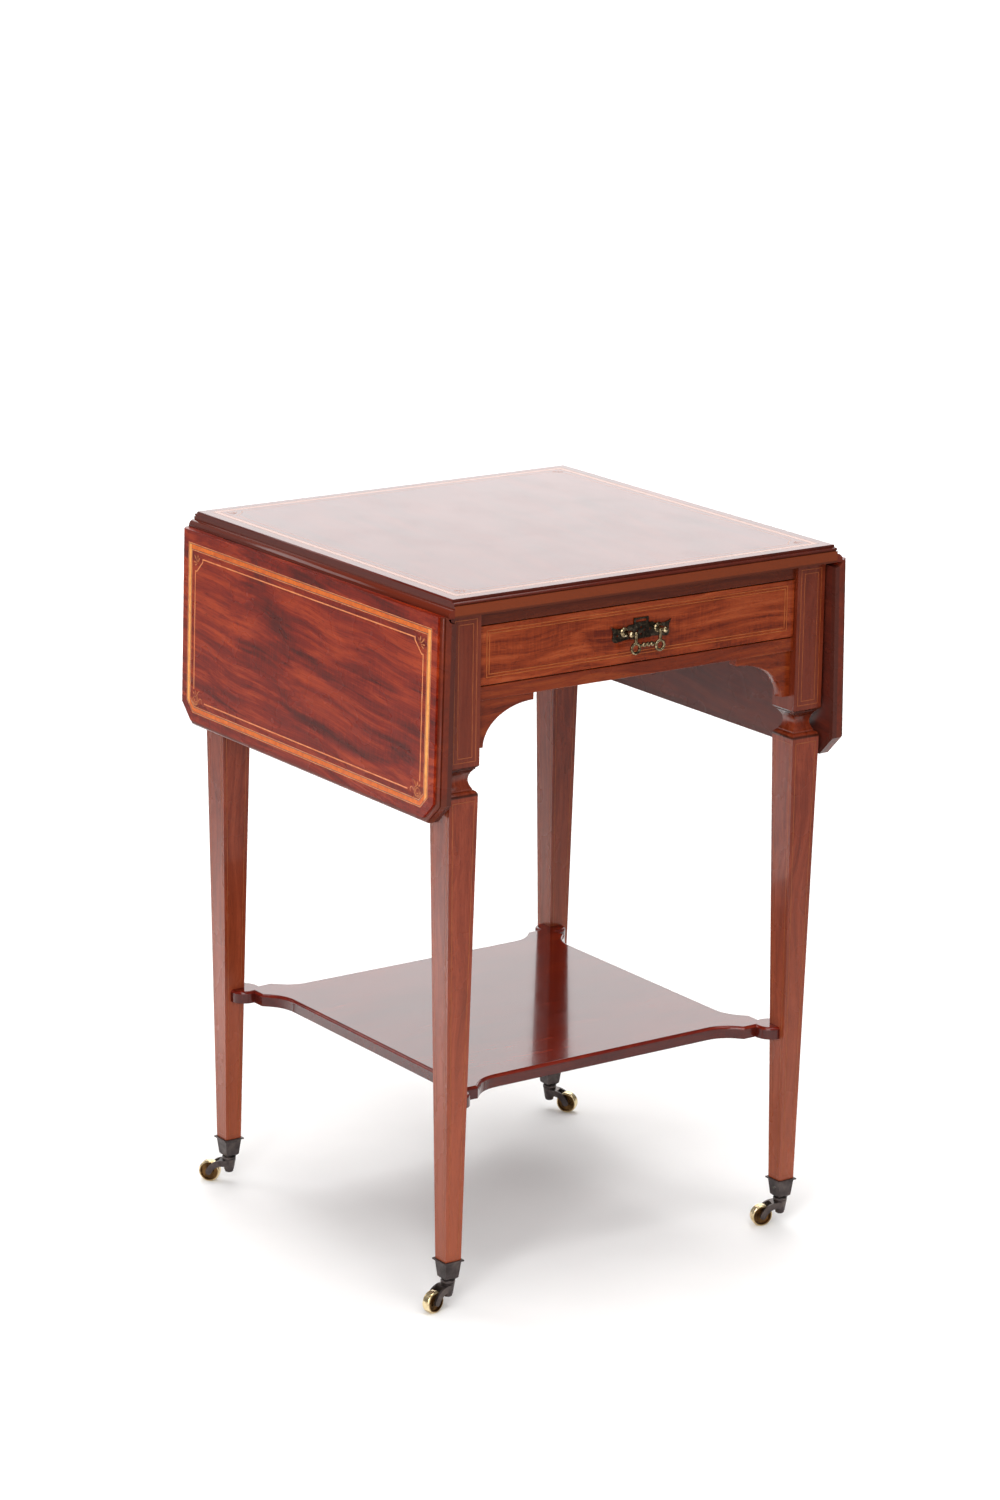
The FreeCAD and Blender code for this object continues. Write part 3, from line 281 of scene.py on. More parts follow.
def thicken(mesh_object, thickness):
    """Gives a flat inlay its thickness, half of it under the surface that it lies in."""
    thick = mesh_object.modifiers.new("thickness", "SOLIDIFY")
    thick.thickness = thickness
    thick.offset = 0.0
    bpy.context.view_layer.objects.active = mesh_object
    bpy.ops.object.modifier_apply(modifier=thick.name)


def placed_copy(source, matrix):
    """A copy with its own mesh, its place put into that mesh."""
    made = source.copy()
    made.data = source.data.copy()
    made.data.transform(matrix)
    if matrix.determinant() < 0:
        made.data.flip_normals()
    bpy.context.collection.objects.link(made)
    return made


def joined(pieces, name):
    """Makes one named piece of several."""
    deselect()
    for piece in pieces:
        piece.select_set(True)
    bpy.context.view_layer.objects.active = pieces[0]
    if len(pieces) > 1:
        bpy.ops.object.join()
    return named(name)


def discard(*pieces):
    """Removes patterns that have been copied."""
    for piece in pieces:
        bpy.data.objects.remove(piece)


def dress(piece, material, body):
    """Material, material slot and body of a finished piece."""
    piece.data.materials.clear()
    piece.data.materials.append(material)
    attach(piece, body)


def taper_line():
    """The frame for the front face of a leg's taper, which narrows and leans in towards the foot."""
    made = front_plane("taper_line", taper_top_half, taper_foot_z, taper_top_z)
    pick(made, lambda co: co.z < (taper_foot_z + taper_top_z) / 2)
    bpy.ops.transform.resize(value=(taper_foot_half / taper_top_half, 1, 1), center_override=(0, 0, 0))
    bpy.ops.transform.translate(value=(0, taper_top_half - taper_foot_half, 0))
    line_frame(taper_inset)
    thicken(made, 2 * line_stand)
    return made


def block_line(inset):
    """A frame for the front of a leg's block."""
    made = front_plane("block_line", block_half, block_foot_z, block_head_z)
    line_frame(inset)
    thicken(made, 2 * line_stand)
    return made


leg_boxwood = boxwood("Boxwood stringing, darkened by polish", ("#7c3a1a", "#904c26"), polish=0.1)
taper_pattern = taper_line()
block_patterns = [block_line(inset) for inset in block_insets]
for name, (side_x, side_y) in corners.items():
    leg_x, leg_y, _ = joints["castor_swivel_" + name]["pos_m"]
    stand = Matrix.Translation((leg_x, leg_y, 0))
    strings = [placed_copy(taper_pattern, stand @ Matrix.Rotation(math.radians(turn), 4, "Z"))
               for turn in (0, 90, 180, 270)]
    outward = Matrix.Rotation(math.radians(0 if side_y < 0 else 180), 4, "Z")
    strings += [placed_copy(pattern, stand @ outward) for pattern in block_patterns]
    dress(joined(strings, "leg_stringing_" + name), leg_boxwood, "frame")
discard(taper_pattern, *block_patterns)

# The frieze: side, back and drawer rails in mahogany, tenoned into the leg blocks, with thin sawn spandrel
# brackets glued into the corners below. Their grain runs along each rail, and a painted shadow darkens the
# rails close under the top, where its overhang shades them.
grain_x = (0.0, 0.0, 0.0)
grain_y = (0.0, 0.0, math.radians(-90))
rail_pieces = ("drawer_top_rail", "drawer_lower_rail", "back_rail", "corner_brackets")
# Painted shadow from the top's overhang on the rails above 679 mm.
rail_overhang_shadow = [((0, 0, 1), 676, 679, "#3c1408", 0.6)]
rail_mahogany = polished_mahogany("French-polished mahogany, rails", grain_x,
                                  tones=("#4c1605", "#6e270c", "#833a15"), figure_mm=(120, 9),
                                  shares=(0.1, 0.18, 0.05), gloss=0.28, polish=0.05, shades=rail_overhang_shadow)
side_mahogany = polished_mahogany("French-polished mahogany, side rails", grain_y,
                                  tones=("#3a130a", "#5c2213", "#72331e"), figure_mm=(120, 10),
                                  shares=(0.12, 0.2, 0.05), gloss=0.30, polish=0.1)
finish_nodes(rail_mahogany, *rail_pieces)
finish_nodes(side_mahogany, "side_rail_left", "side_rail_right")
wear_edges(0.5 * mm, *rail_pieces)

# Drawer runners, kickers and stops: strips of pine glued inside the frieze, left unpolished from the plane.
# The iron screws that pull the top down pass through the kickers.
ring_length, ring_width = 70 * mm, 7 * mm


def lining_timber(name, grain_turn, tones):
    """Planed timber with no polish: pale early wood and darker late wood in long rings drawn 7 mm wide."""
    made, tree, shader = new_material(name)
    place = add_node(tree, "TexCoord").outputs["Object"]
    grain = add_node(tree, "Mapping", {"Rotation": grain_turn}, {"Vector": place}).outputs[0]
    stretched = add_node(tree, "Mapping", {"Scale": (1 / ring_length, 1 / ring_width, 1 / ring_width)},
                         {"Vector": grain}).outputs[0]
    ring = add_node(tree, "TexNoise", {"Scale": 1.0, "Detail": 4.0, "Distortion": 0.5},
                    {"Vector": stretched}).outputs["Fac"]
    colour = add_node(tree, "ValToRGB", {}, {0: ring}, [(0.35, tones[0]), (0.62, tones[1])]).outputs[0]
    tree.links.new(colour, shader.inputs["Base Color"])
    dent = add_node(tree, "Bump", {"Strength": 0.12, "Distance": 0.2 * mm}, {"Height": ring}).outputs[0]
    tree.links.new(dent, shader.inputs["Normal"])
    shader.inputs["Roughness"].default_value = 0.62
    shader.inputs["IOR"].default_value = wood_ior
    return made


def worn_metal(name, tones, grime_mm, metallic, roughness):
    """Old metal: bright where hands or floors rub it, dull and brown in patches of the size given, with
    pits drawn 1.6 mm wide."""
    made, tree, shader = new_material(name)
    place = add_node(tree, "TexCoord").outputs["Object"]
    patch = add_node(tree, "TexNoise", {"Scale": 1 / (grime_mm * mm), "Detail": 5.0, "Roughness": 0.6},
                     {"Vector": place}).outputs["Fac"]
    colour = add_node(tree, "ValToRGB", {}, {0: patch},
                      [(0.36, tones[0]), (0.68, tones[2]), (0.52, tones[1])]).outputs[0]
    tree.links.new(colour, shader.inputs["Base Color"])
    rough = add_node(tree, "MapRange", {1: 0.35, 2: 0.65, 3: roughness + 0.12, 4: roughness - 0.06},
                     {0: patch}).outputs[0]
    tree.links.new(rough, shader.inputs["Roughness"])
    pit = add_node(tree, "TexNoise", {"Scale": 1 / (1.6 * mm), "Detail": 2.0},
                   {"Vector": place}).outputs["Fac"]
    dent = add_node(tree, "Bump", {"Strength": 0.12, "Distance": 0.15 * mm}, {"Height": pit}).outputs[0]
    tree.links.new(dent, shader.inputs["Normal"])
    shader.inputs["Metallic"].default_value = metallic
    return made


pine = lining_timber("Planed pine, unpolished", grain_y, ("#8a6238", "#b98d58"))
finish_nodes(pine, "drawer_runners", "drawer_kickers", "drawer_stops")
steel = worn_metal("Dulled iron screws and pins", ("#3d3a37", "#5c5853", "#7d7871"), grime_mm=4, metallic=0.9,
                   roughness=0.42)
finish_nodes(steel, "top_screws")

# The top: one mahogany panel, moulded at the front and back and worked to a rule joint along both sides.
# It is polished to a mirror, so at a low angle it shows the room more than its own colour. Painted shade
# darkens the moulding's step and the round of the rule joint, and a painted shadow lies on its lower edge.
top_turn = (0.0, 0.0, math.radians(-84))
# Painted shade at the step, a brown tint on the fascia, a painted shadow on the lower edge, painted shade on
# the round.
top_shades = [((0, 0, -1), -710.9, -710.3, "#491a10", 0.7), ((0, 0, -1), -705.6, -705.2, "#7e3712", 0.55),
              ((0, 0, -1), -696.6, -695.4, "#3c1408", 0.7), ((1, 0, 0), 226.2, 226.5, "#5a1a0c", 0.8)]
top_mahogany = polished_mahogany("French-polished mahogany, figured top", top_turn,
                                 tones=("#3a0e07", "#5a170b", "#712a16"), figure_mm=(130, 34),
                                 shares=(0.1, 0.12, 0.2), gloss=0.14, polish=0.1, shades=top_shades)
finish_nodes(top_mahogany, "top_panel")
wear_edges(0.35 * mm, "top_panel")

# Inlay of the top and leaves: a satinwood band between fine black lines and boxwood strings, all let in
# about a millimetre and polished with the panel. The inner string is boxwood too.
cross_start = 210.8 * mm
cross_fade = 0.3 * mm
top_band = ("#924a20", "#9c5428")


def satinwood(name, tones, cross_sheen_tones, polish):
    """Polished satinwood: golden, with a silky ripple drawn 6 mm long across the band. Along the ends, past
    cross_start on Y, the band is cut across the grain, and a painted sheen makes it lighter there."""
    made, tree, shader = new_material(name)
    place = add_node(tree, "TexCoord").outputs["Object"]
    ripple = add_node(tree, "TexNoise", {"Scale": 1 / (6 * mm), "Detail": 4.0, "Distortion": 0.6},
                      {"Vector": place}).outputs["Fac"]
    along = add_node(tree, "ValToRGB", {}, {0: ripple}, [(0.32, tones[0]), (0.68, tones[1])]).outputs[0]
    # The cross-grain ends take the lighter tones of a painted sheen.
    across = add_node(tree, "ValToRGB", {}, {0: ripple},
                      [(0.32, cross_sheen_tones[0]), (0.68, cross_sheen_tones[1])]).outputs[0]
    outward = add_node(tree, "VectorMath", {"operation": "ABSOLUTE"}, {0: place}).outputs[0]
    end_reach = add_node(tree, "VectorMath", {"operation": "DOT_PRODUCT", 1: (0, 1, 0)},
                         {0: outward}).outputs[1]
    at_end = add_node(tree, "MapRange", {1: cross_start, 2: cross_start + cross_fade},
                      {0: end_reach}).outputs[0]
    colour = add_node(tree, "Mix", {"data_type": "RGBA"}, {0: at_end, 6: along, 7: across}).outputs[2]
    tree.links.new(colour, shader.inputs["Base Color"])
    shader.inputs["Roughness"].default_value = 0.26
    set_polish(shader, polish, 0.07)
    return made


def black_line(name):
    """Dyed black stringing, close to ebony: almost no grain, only clouds of 8 mm, and a soft gloss."""
    made, tree, shader = new_material(name)
    place = add_node(tree, "TexCoord").outputs["Object"]
    streak = add_node(tree, "TexNoise", {"Scale": 1 / (8 * mm), "Detail": 3.0},
                      {"Vector": place}).outputs["Fac"]
    colour = add_node(tree, "ValToRGB", {}, {0: streak}, [(0.3, "#2a120c"), (0.7, "#46200f")]).outputs[0]
    tree.links.new(colour, shader.inputs["Base Color"])
    shader.inputs["Roughness"].default_value = 0.3
    shader.inputs["IOR"].default_value = wood_ior
    return made


top_satinwood = satinwood("Polished satinwood banding, top", top_band, top_band, polish=0.34)
# The second pair of tones is the painted sheen on the cross-grain ends of the leaf bands.
leaf_satinwood = satinwood("Polished satinwood banding, leaves", ("#b84e12", "#d06818"),
                           ("#d48440", "#ea9e4e"), polish=0.1)
top_boxwood = boxwood("Polished boxwood stringing, top", ("#8a4c2e", "#925636"), polish=0.22)
pale_boxwood = boxwood("Polished boxwood stringing, leaves", ("#c66c3a", "#de8c56"), polish=0.1)
ebonised = black_line("Ebonised stringing")
finish_nodes(top_satinwood, "top_banding")
finish_nodes(leaf_satinwood, "leaf_banding_left", "leaf_banding_right")
finish_nodes(top_boxwood, "top_stringing")
finish_nodes(pale_boxwood, "leaf_stringing_left", "leaf_stringing_right")
finish_nodes(ebonised, "top_dark_lines", "leaf_dark_lines_left", "leaf_dark_lines_right")

# Fans in the cut corners of the inner strings: five small petals each, knife-cut from veneer and let in
# flush. Those on the top are plain boxwood, and those beside the hinges of both leaves are shaded by
# scorching.
face_z = 711 * mm
petal_length, petal_width = 8.96 * mm, 2.2 * mm
petal_middle, petal_waist = 5.6 * mm, 5.04 * mm
petal_foot_width = 0.45
# The turn of each petal in degrees, and its size as a share of the middle one.
petal_turns = {-74: 0.66, -42: 0.8, 0: 1.0, 42: 0.8, 74: 0.66}
string_corner_top = (203 * mm, 204 * mm)
string_corner_leaf = (252 * mm, 204 * mm)
fan_foot = 5.7 * mm
leaf_swing = 88.85
sides = {"left": -1, "right": 1}


def petal_veneer(name):
    """Shaded boxwood: each petal pale at its edge and scorched brown in clouds about 3 mm wide."""
    made, tree, shader = new_material(name)
    place = add_node(tree, "TexCoord").outputs["Object"]
    scorch = add_node(tree, "TexNoise", {"Scale": 1 / (3 * mm), "Detail": 2.0},
                      {"Vector": place}).outputs["Fac"]
    colour = add_node(tree, "ValToRGB", {}, {0: scorch}, [(0.35, "#8e4420"), (0.62, "#be7444")]).outputs[0]
    tree.links.new(colour, shader.inputs["Base Color"])
    shader.inputs["Roughness"].default_value = 0.34
    shader.inputs["IOR"].default_value = wood_ior
    shader.inputs["Specular IOR Level"].default_value = 0.2
    return made


def fan():
    """A fan flat on the origin, its foot at the origin and its middle petal along +Y."""
    deselect()
    bpy.ops.mesh.primitive_circle_add(vertices=18, radius=0.5, fill_type="NGON", location=(0, 0, 0))
    petal = named("petal")
    bpy.ops.object.mode_set(mode="EDIT")
    bpy.ops.mesh.select_all(action="SELECT")
    bpy.ops.transform.resize(value=(petal_width, petal_length, 1), center_override=(0, 0, 0))
    bpy.ops.transform.translate(value=(0, petal_middle, 0))
    pick(petal, lambda co: co.y < petal_waist)
    bpy.ops.transform.resize(value=(petal_foot_width, 1, 1), center_override=(0, 0, 0))
    bpy.ops.object.mode_set(mode="OBJECT")
    thicken(petal, 2 * line_stand)
    petals = [placed_copy(petal, Matrix.Rotation(math.radians(turn), 4, "Z") @ Matrix.Scale(share, 4))
              for turn, share in petal_turns.items()]
    discard(petal)
    return joined(petals, "fan")


def hanging(side):
    """Matrix that swings a piece of a raised leaf down to where it hangs, on the right (1) or left (-1)."""
    axis = Vector(joints["leaf_right_hinge"]["pos_m"])
    swing = Matrix.Rotation(math.radians(leaf_swing), 4, "Y")
    down = Matrix.Translation(axis) @ swing @ Matrix.Translation(-axis)
    return Matrix.Scale(side, 4, (1, 0, 0)) @ down


def corner_fan(pattern, corner, heading_x, heading_y):
    """A fan set back from a string's corner point, its middle petal along the diagonal to that corner."""
    turn = math.degrees(math.atan2(heading_y, heading_x)) - 90
    foot = Vector((corner[0] - heading_x * fan_foot, corner[1] - heading_y * fan_foot, face_z))
    return placed_copy(pattern, Matrix.Translation(foot) @ Matrix.Rotation(math.radians(turn), 4, "Z"))


shaded_veneer = petal_veneer("Shaded boxwood ornament")
fan_pattern = fan()
top_fans = []
for side_x, side_y in corners.values():
    corner = (side_x * string_corner_top[0], side_y * string_corner_top[1])
    top_fans.append(corner_fan(fan_pattern, corner, side_x, side_y))
dress(joined(top_fans, "top_fans"), top_boxwood, "frame")
for name, side in sides.items():
    fans = [corner_fan(fan_pattern, (string_corner_leaf[0], end * string_corner_leaf[1]), -1, end)
            for end in (-1, 1)]
    hung = [placed_copy(piece, hanging(side)) for piece in fans]
    discard(*fans)
    dress(joined(hung, "leaf_fans_" + name), shaded_veneer, "leaf_" + name)
discard(fan_pattern)

# The two drop leaves: mahogany boards picked for their figure, moulded on three sides, with canted corners
# and a hollow along the hinge edge that rolls over the rule joint of the top. Painted shade darkens their
# moulded edges, and their inner faces are plain.
leaf_turn = (math.radians(-5), 0.0, math.radians(-90))
leaf_edge_shade = "#57271a"
# Painted shade on the moulded edges and canted corners; the last row is the plain inner face.
leaf_shades = [((0, 1, 0), 226, 226.4, leaf_edge_shade, 0.75), ((0, 0, -1), -501.4, -501, leaf_edge_shade, 0.75),
               ((0, 1, -1), -291.6, -291.2, leaf_edge_shade, 0.75),
               ((-0.9998, 0, -0.0201), -244, -243.2, "#43201a", 0.8)]
leaf_mahogany = polished_mahogany("French-polished mahogany, figured leaves", leaf_turn,
                                  tones=("#440b03", "#731805", "#9c3612"), figure_mm=(140, 30),
                                  shares=(0.19, 0.17, 0.4), gloss=0.26, polish=0.0, shades=leaf_shades)
finish_nodes(leaf_mahogany, "leaf_left", "leaf_right")
wear_edges(0.35 * mm, "leaf_left", "leaf_right")

# Scrolls at the outer corners of each leaf, where the inner string stops: thin boxwood curls cut with a
# gouge, two hooks and a bud of three small leaves that face the corner. The arcs give centre and radius in
# mm, start and sweep in degrees; the bud gives each leaf's foot in mm, turn in degrees and length in mm.
scroll_width = 0.95 * mm
scroll_step = 15
scroll_corner = (400 * mm, 204 * mm)
scroll_arcs = [((3.7, 1.5), 5.4, 75, 265), ((4.5, 1.6), 4.4, -20, 200), ((3.6, 1.6), 3.4, 180, 180),
               ((4.6, 1.6), 2.4, 0, 200), ((13.4, 1.4), 2.7, 175, 215), ((12.6, 6.2), 5.4, 175, 75),
               ((6.4, -4.6), 3.2, 10, 75)]
scroll_bud = [((2.2, 6.6), 48, 4.4), ((4.2, 6.9), 4, 4.6), ((5.6, 6.2), -42, 4.0)]
bud_width = 1.5 * mm
bud_shoulder, bud_tip_width = 0.7, 0.4


def scroll_arc(centre, radius, start, sweep):
    """A flat strip bent round a centre, made by spinning one short edge."""
    deselect()
    bpy.ops.mesh.primitive_plane_add(size=scroll_width, location=(0, 0, 0))
    made = named("scroll_arc")
    bpy.ops.object.mode_set(mode="EDIT")
    pick(made, lambda co: co.y > 0)
    bpy.ops.mesh.delete(type="VERT")
    bpy.ops.mesh.select_all(action="SELECT")
    bpy.ops.transform.translate(value=(radius * mm, scroll_width / 2, 0))
    bpy.ops.mesh.spin(steps=max(4, int(abs(sweep) / scroll_step)), angle=math.radians(sweep),
                      center=(0, 0, 0), axis=(0, 0, 1))
    bpy.ops.object.mode_set(mode="OBJECT")
    spot = Matrix.Translation((centre[0] * mm, centre[1] * mm, 0))
    made.data.transform(spot @ Matrix.Rotation(math.radians(start), 4, "Z"))
    return made


def bud_leaf(foot, turn, length):
    """One small leaf above the curl, pointed at its tip."""
    deselect()
    bpy.ops.mesh.primitive_circle_add(vertices=14, radius=0.5, fill_type="NGON", location=(0, 0, 0))
    made = named("bud_leaf")
    bpy.ops.object.mode_set(mode="EDIT")
    bpy.ops.mesh.select_all(action="SELECT")
    bpy.ops.transform.resize(value=(bud_width, length * mm, 1), center_override=(0, 0, 0))
    bpy.ops.transform.translate(value=(0, length * mm / 2, 0))
    pick(made, lambda co: co.y > length * mm * bud_shoulder)
    bpy.ops.transform.resize(value=(bud_tip_width, 1, 1), center_override=(0, 0, 0))
    bpy.ops.object.mode_set(mode="OBJECT")
    spot = Matrix.Translation((foot[0] * mm, foot[1] * mm, 0))
    made.data.transform(spot @ Matrix.Rotation(math.radians(turn), 4, "Z"))
    return made


def scroll():
    """The ornament with its corner point at the origin: it runs along -Y beside the leaf's edge and up -X."""
    pieces = [scroll_arc(*arc) for arc in scroll_arcs] + [bud_leaf(*leaf) for leaf in scroll_bud]
    made = joined(pieces, "scroll")
    bpy.ops.object.mode_set(mode="EDIT")
    bpy.ops.mesh.select_all(action="SELECT")
    bpy.ops.mesh.normals_make_consistent(inside=False)
    bpy.ops.object.mode_set(mode="OBJECT")
    thicken(made, 2 * line_stand)
    turned_over = Matrix(((0, -1, 0, 0), (-1, 0, 0, 0), (0, 0, -1, 0), (0, 0, 0, 1)))
    made.data.transform(turned_over)
    return made


scroll_pattern = scroll()
for name, side in sides.items():
    pieces = []
    for end in (-1, 1):
        spot = Matrix.Translation((scroll_corner[0], end * scroll_corner[1], face_z))
        pieces.append(placed_copy(scroll_pattern, hanging(side) @ spot @ Matrix.Scale(end, 4, (0, 1, 0))))
    dress(joined(pieces, "leaf_scrolls_" + name), shaded_veneer, "leaf_" + name)
discard(scroll_pattern)

# Back-flap hinges: iron flaps let in flush under the top and leaf, three knuckles on a pin at the centre
# of the rule joint, held by countersunk screws.
finish_nodes(steel, "hinge_fixed_flaps", "hinge_pins", "hinge_fixed_screws", "leaf_hinge_flaps_left",
             "leaf_hinge_flaps_right", "leaf_hinge_screws_left", "leaf_hinge_screws_right")

# Fly brackets: plain hardwood arms on a wooden knuckle joint with an iron pin, which swing out to hold a
# raised leaf. They sit behind the hanging leaves, stained but not polished.
fly_timber = lining_timber("Stained beech, unpolished", grain_y, ("#5a3222", "#774732"))
finish_nodes(fly_timber, "fly_blocks", "fly_bracket_left", "fly_bracket_right")
finish_nodes(steel, "fly_pins")

# The drawer: a mahogany front, lap-dovetailed to thin sides, with a bottom slid into grooves. Two boxwood
# strings frame the front, and the cedar lining is left bare.
cedar = ("#87562f", "#a8764a")
drawer_mahogany = polished_mahogany("French-polished mahogany, drawer front", grain_x,
                                    tones=("#541706", "#7f3113", "#994724"), figure_mm=(90, 14),
                                    shares=(0.18, 0.18, 0.4), gloss=0.26, polish=0.0)
drawer_boxwood = boxwood("Boxwood stringing, drawer front", ("#8c421e", "#a0562a"), polish=0.0)
side_lining = lining_timber("Planed cedar, unpolished", grain_y, cedar)
cross_lining = lining_timber("Planed cedar, across the drawer", grain_x, cedar)
finish_nodes(drawer_mahogany, "drawer_front")
wear_edges(0.4 * mm, "drawer_front")
finish_nodes(drawer_boxwood, "drawer_stringing")
finish_nodes(side_lining, "drawer_side_left", "drawer_side_right")
finish_nodes(cross_lining, "drawer_back", "drawer_bottom")

# The handle: a pierced cast plate, two posts with drilled balls, and a bail with rings and a beaded grip.
# It is brass, dark with old lacquer in the hollows and rubbed bright where it is held.
plate_brass = worn_metal("Antique brass, darkened plate", ("#1f1a16", "#39312a", "#6e6252"), grime_mm=4,
                         metallic=1.0, roughness=0.34)
bail_brass = worn_metal("Antique brass, rubbed bright", ("#362c20", "#7c6c52", "#c4b492"), grime_mm=5,
                        metallic=1.0, roughness=0.2)
finish_nodes(plate_brass, "handle_backplate", "handle_nuts")
wear_edges(0.3 * mm, "handle_backplate")
finish_nodes(bail_brass, "handle_posts", "handle_bail")

# The undertier: one flat mahogany shelf with hollowed sides, its arms run out to round lobes that fit over
# the inner corners of the legs and are dowelled to them. Painted shade darkens its edges and underside.
shelf_shades = [((0, 0, -1), -212.2, -211.0, "#2c0c08", 0.7)]
shelf_mahogany = polished_mahogany("French-polished mahogany, undertier", grain_x,
                                   tones=("#470b04", "#6c170a", "#862a13"), figure_mm=(130, 34),
                                   shares=(0.1, 0.12, 0.2), gloss=0.12, polish=0.24, shades=shelf_shades)
finish_nodes(shelf_mahogany, "shelf", "shelf_dowels")

# Castors: a square brass cup screwed to the foot of each leg, a riveted spindle, a cast fork that swivels
# under it and a turned brass wheel on its axle. The castings are almost black, the treads are worn.
tread_start = 9.2 * mm
tread_fade = 1.2 * mm
lathe_pitch = 0.9 * mm


def castor_brass(name, hub, axle):
    """Turned brass: brown and dull round the hub, rubbed pale on the tread, in patches of 7 mm, with rings
    from the lathe drawn 0.9 mm apart because the real ones are too fine to show."""
    made, tree, shader = new_material(name)
    place = add_node(tree, "TexCoord").outputs["Object"]
    centred = add_node(tree, "VectorMath", {"operation": "SUBTRACT", 1: hub}, {0: place}).outputs[0]
    crossed = add_node(tree, "VectorMath", {"operation": "CROSS_PRODUCT", 1: axle}, {0: centred}).outputs[0]
    radius = add_node(tree, "VectorMath", {"operation": "LENGTH"}, {0: crossed}).outputs[1]
    patch = add_node(tree, "TexNoise", {"Scale": 1 / (7 * mm), "Detail": 4.0},
                     {"Vector": place}).outputs["Fac"]
    phase = add_node(tree, "Math", {"operation": "MULTIPLY", 1: 2 * math.pi / lathe_pitch},
                     {0: radius}).outputs[0]
    turned = add_node(tree, "Math", {"operation": "SINE"}, {0: phase}).outputs[0]
    web = add_node(tree, "ValToRGB", {}, {0: patch}, [(0.35, "#3a2818"), (0.65, "#7a5a34")]).outputs[0]
    tread = add_node(tree, "ValToRGB", {}, {0: patch}, [(0.3, "#b79a68"), (0.6, "#f2dfb4")]).outputs[0]
    worn = add_node(tree, "MapRange", {1: tread_start, 2: tread_start + tread_fade}, {0: radius}).outputs[0]
    colour = add_node(tree, "Mix", {"data_type": "RGBA"}, {0: worn, 6: web, 7: tread}).outputs[2]
    tree.links.new(colour, shader.inputs["Base Color"])
    rough = add_node(tree, "MapRange", {3: 0.42, 4: 0.24}, {0: worn}).outputs[0]
    tree.links.new(rough, shader.inputs["Roughness"])
    dent = add_node(tree, "Bump", {"Strength": 0.2, "Distance": 0.1 * mm}, {"Height": turned}).outputs[0]
    tree.links.new(dent, shader.inputs["Normal"])
    shader.inputs["Metallic"].default_value = 1.0
    return made


castor_bronze = worn_metal("Patinated cast brass", ("#3b3433", "#4d4544", "#625853"), grime_mm=16,
                           metallic=0.85, roughness=0.36)
finish_nodes(castor_bronze, "castor_cups", "castor_spindles", *["castor_fork_" + name for name in corners])
finish_nodes(steel, "castor_cup_screws")
for name in corners:
    roll = joints["castor_roll_" + name]
    wheel_title = "Turned brass, castor wheel " + name.replace("_", " ")
    finish_nodes(castor_brass(wheel_title, roll["pos_m"], roll["axis"]), roll["child"])

# The studio: a plain white paper floor that runs out of sight, soft white light all round, a large soft
# light from the left, pale panels behind, which the polished top, its rule joint and the shelf mirror, and
# lights that hang straight down and whiten the floor.
floor_size = 60
world_strength = 0.26
overhead_turn = -34.9


def background_paper(name):
    """Matt white paper, its tone drifting a little in clouds of 120 mm."""
    made, tree, shader = new_material(name)
    place = add_node(tree, "TexCoord").outputs["Object"]
    tooth = add_node(tree, "TexNoise", {"Scale": 1 / (120 * mm)}, {"Vector": place}).outputs["Fac"]
    colour = add_node(tree, "ValToRGB", {}, {0: tooth}, [(0.3, "#f6f5f4"), (0.7, "#f9f8f7")]).outputs[0]
    tree.links.new(colour, shader.inputs["Base Color"])
    shader.inputs["Roughness"].default_value = 0.9
    return made


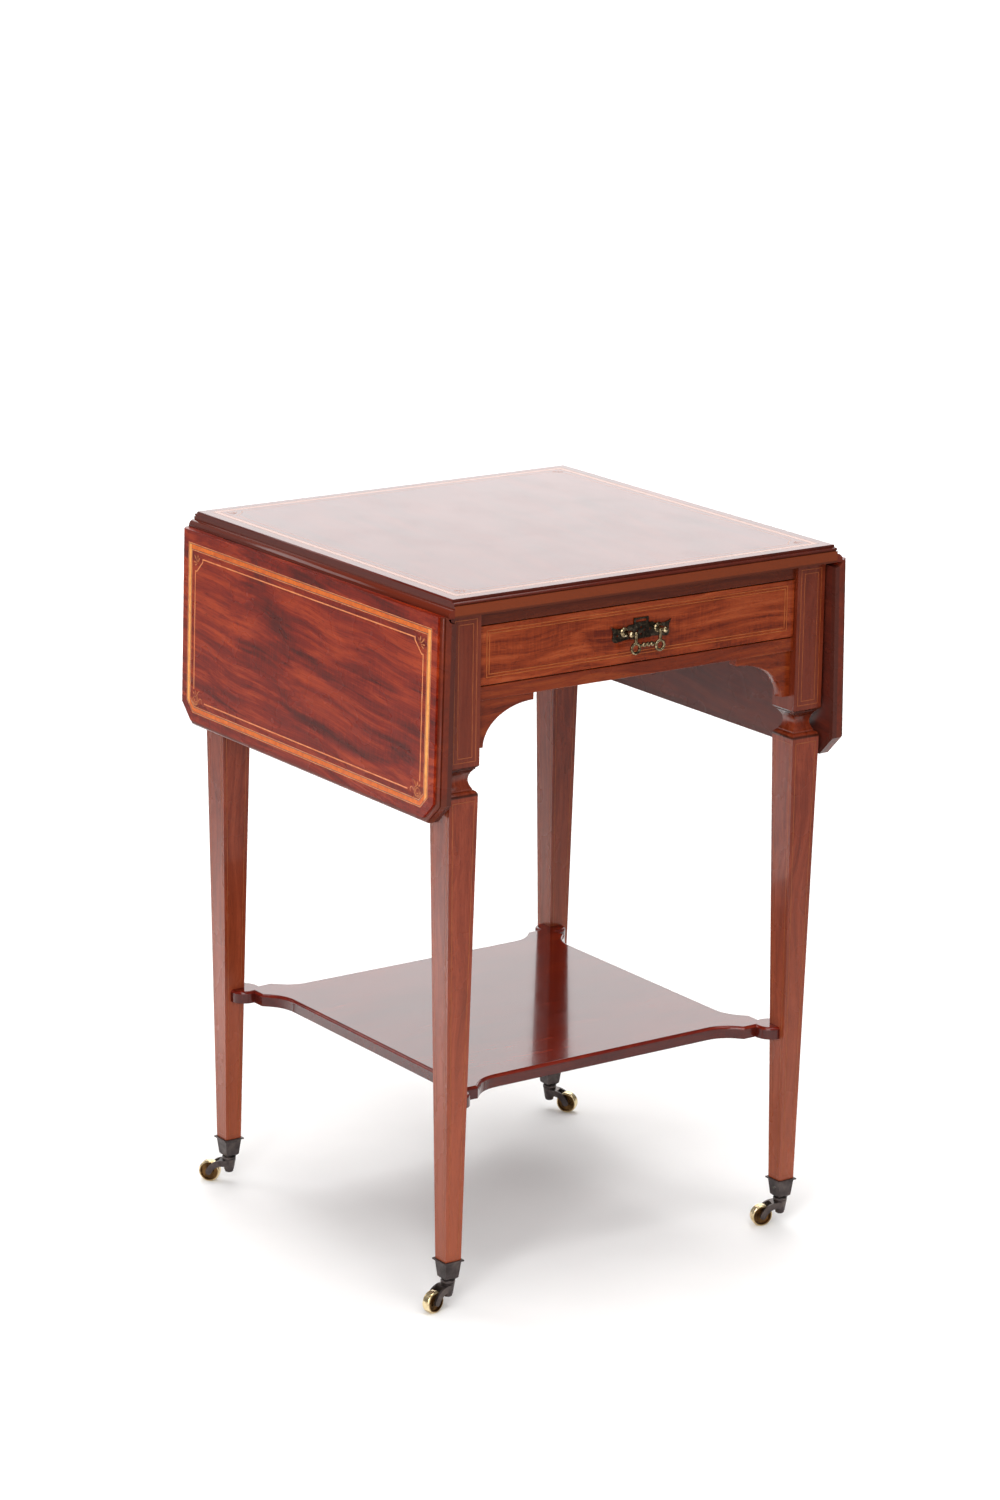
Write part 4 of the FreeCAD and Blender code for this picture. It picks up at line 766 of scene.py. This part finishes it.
def soft_light(name, place, aim, size, watts, spread=180):
    """A white panel of light of the given width and height, aimed at a point; one aimed straight down is
    turned to lie across the camera's view."""
    lamp = bpy.data.lights.new(name, "AREA")
    lamp.shape = "RECTANGLE"
    lamp.size, lamp.size_y = size
    lamp.energy = watts
    lamp.spread = math.radians(spread)
    holder = bpy.data.objects.new(name, lamp)
    holder.location = place
    heading = Vector(aim) - Vector(place)
    if heading.x == heading.y == 0:
        holder.rotation_euler = (0, 0, math.radians(overhead_turn))
    else:
        holder.rotation_euler = heading.to_track_quat("-Z", "Y").to_euler()
    holder.visible_camera = False
    bpy.context.collection.objects.link(holder)


deselect()
bpy.ops.mesh.primitive_plane_add(size=floor_size, location=(0, 0, 0))
floor = named("studio_floor")
floor.data.materials.append(background_paper("White background paper"))

world = bpy.data.worlds.new("white studio")
bpy.context.scene.world = world
world.use_nodes = True
sky = world.node_tree.nodes["Background"]
sky.inputs["Color"].default_value = linear("#ffffff")
sky.inputs["Strength"].default_value = world_strength

soft_light("left_light", (-2.0, -2.0, 1.7), aim=(0, 0, 0.4), size=(1.5, 1.5), watts=57)
soft_light("front_light", (0.2, -2.6, 3.4), aim=(0, 0, 0.3), size=(1.8, 1.6), watts=19)
soft_light("low_light", (-0.7, -0.95, 0.12), aim=(-0.1, 0, 0.12), size=(0.9, 0.2), watts=1.8)
soft_light("floor_light", (-0.85, 0.75, 1.9), aim=(-0.85, 0.75, 0), size=(0.3, 0.3), watts=5, spread=45)
soft_light("back_left_panel", (-2.0, 3.4, 2.3), aim=(0, 0, 0.65), size=(1.9, 1.7), watts=25)
soft_light("back_panel", (2.7, 3.9, 2.1), aim=(0, 0, 0.6), size=(4.6, 2.2), watts=64)
soft_light("overhead_light", (3.3, 4.7, 4.4), aim=(3.3, 4.7, 0), size=(2.8, 15.0), watts=180, spread=90)
soft_light("far_floor_light", (6.1, 8.8, 2.5), aim=(6.1, 8.8, 0), size=(6.0, 12.0), watts=170, spread=90)
bpy.context.scene.view_settings.view_transform = "Standard"

# The camera stands where the photograph was taken, in front of the left leaf and above the top. Its place,
# its turn in degrees and its lens were solved from the table's straight edges and corners.
camera_place = (-2.45631, -3.47084, 1.63771)
camera_turn = (74.80337, -0.83666, -34.94573)
eye = bpy.data.cameras.new("photo_camera")
eye.sensor_width = 36.0
eye.lens = 105.449
camera = bpy.data.objects.new("photo_camera", eye)
camera.location = camera_place
camera.rotation_euler = [math.radians(angle) for angle in camera_turn]
bpy.context.collection.objects.link(camera)
bpy.context.scene.camera = camera
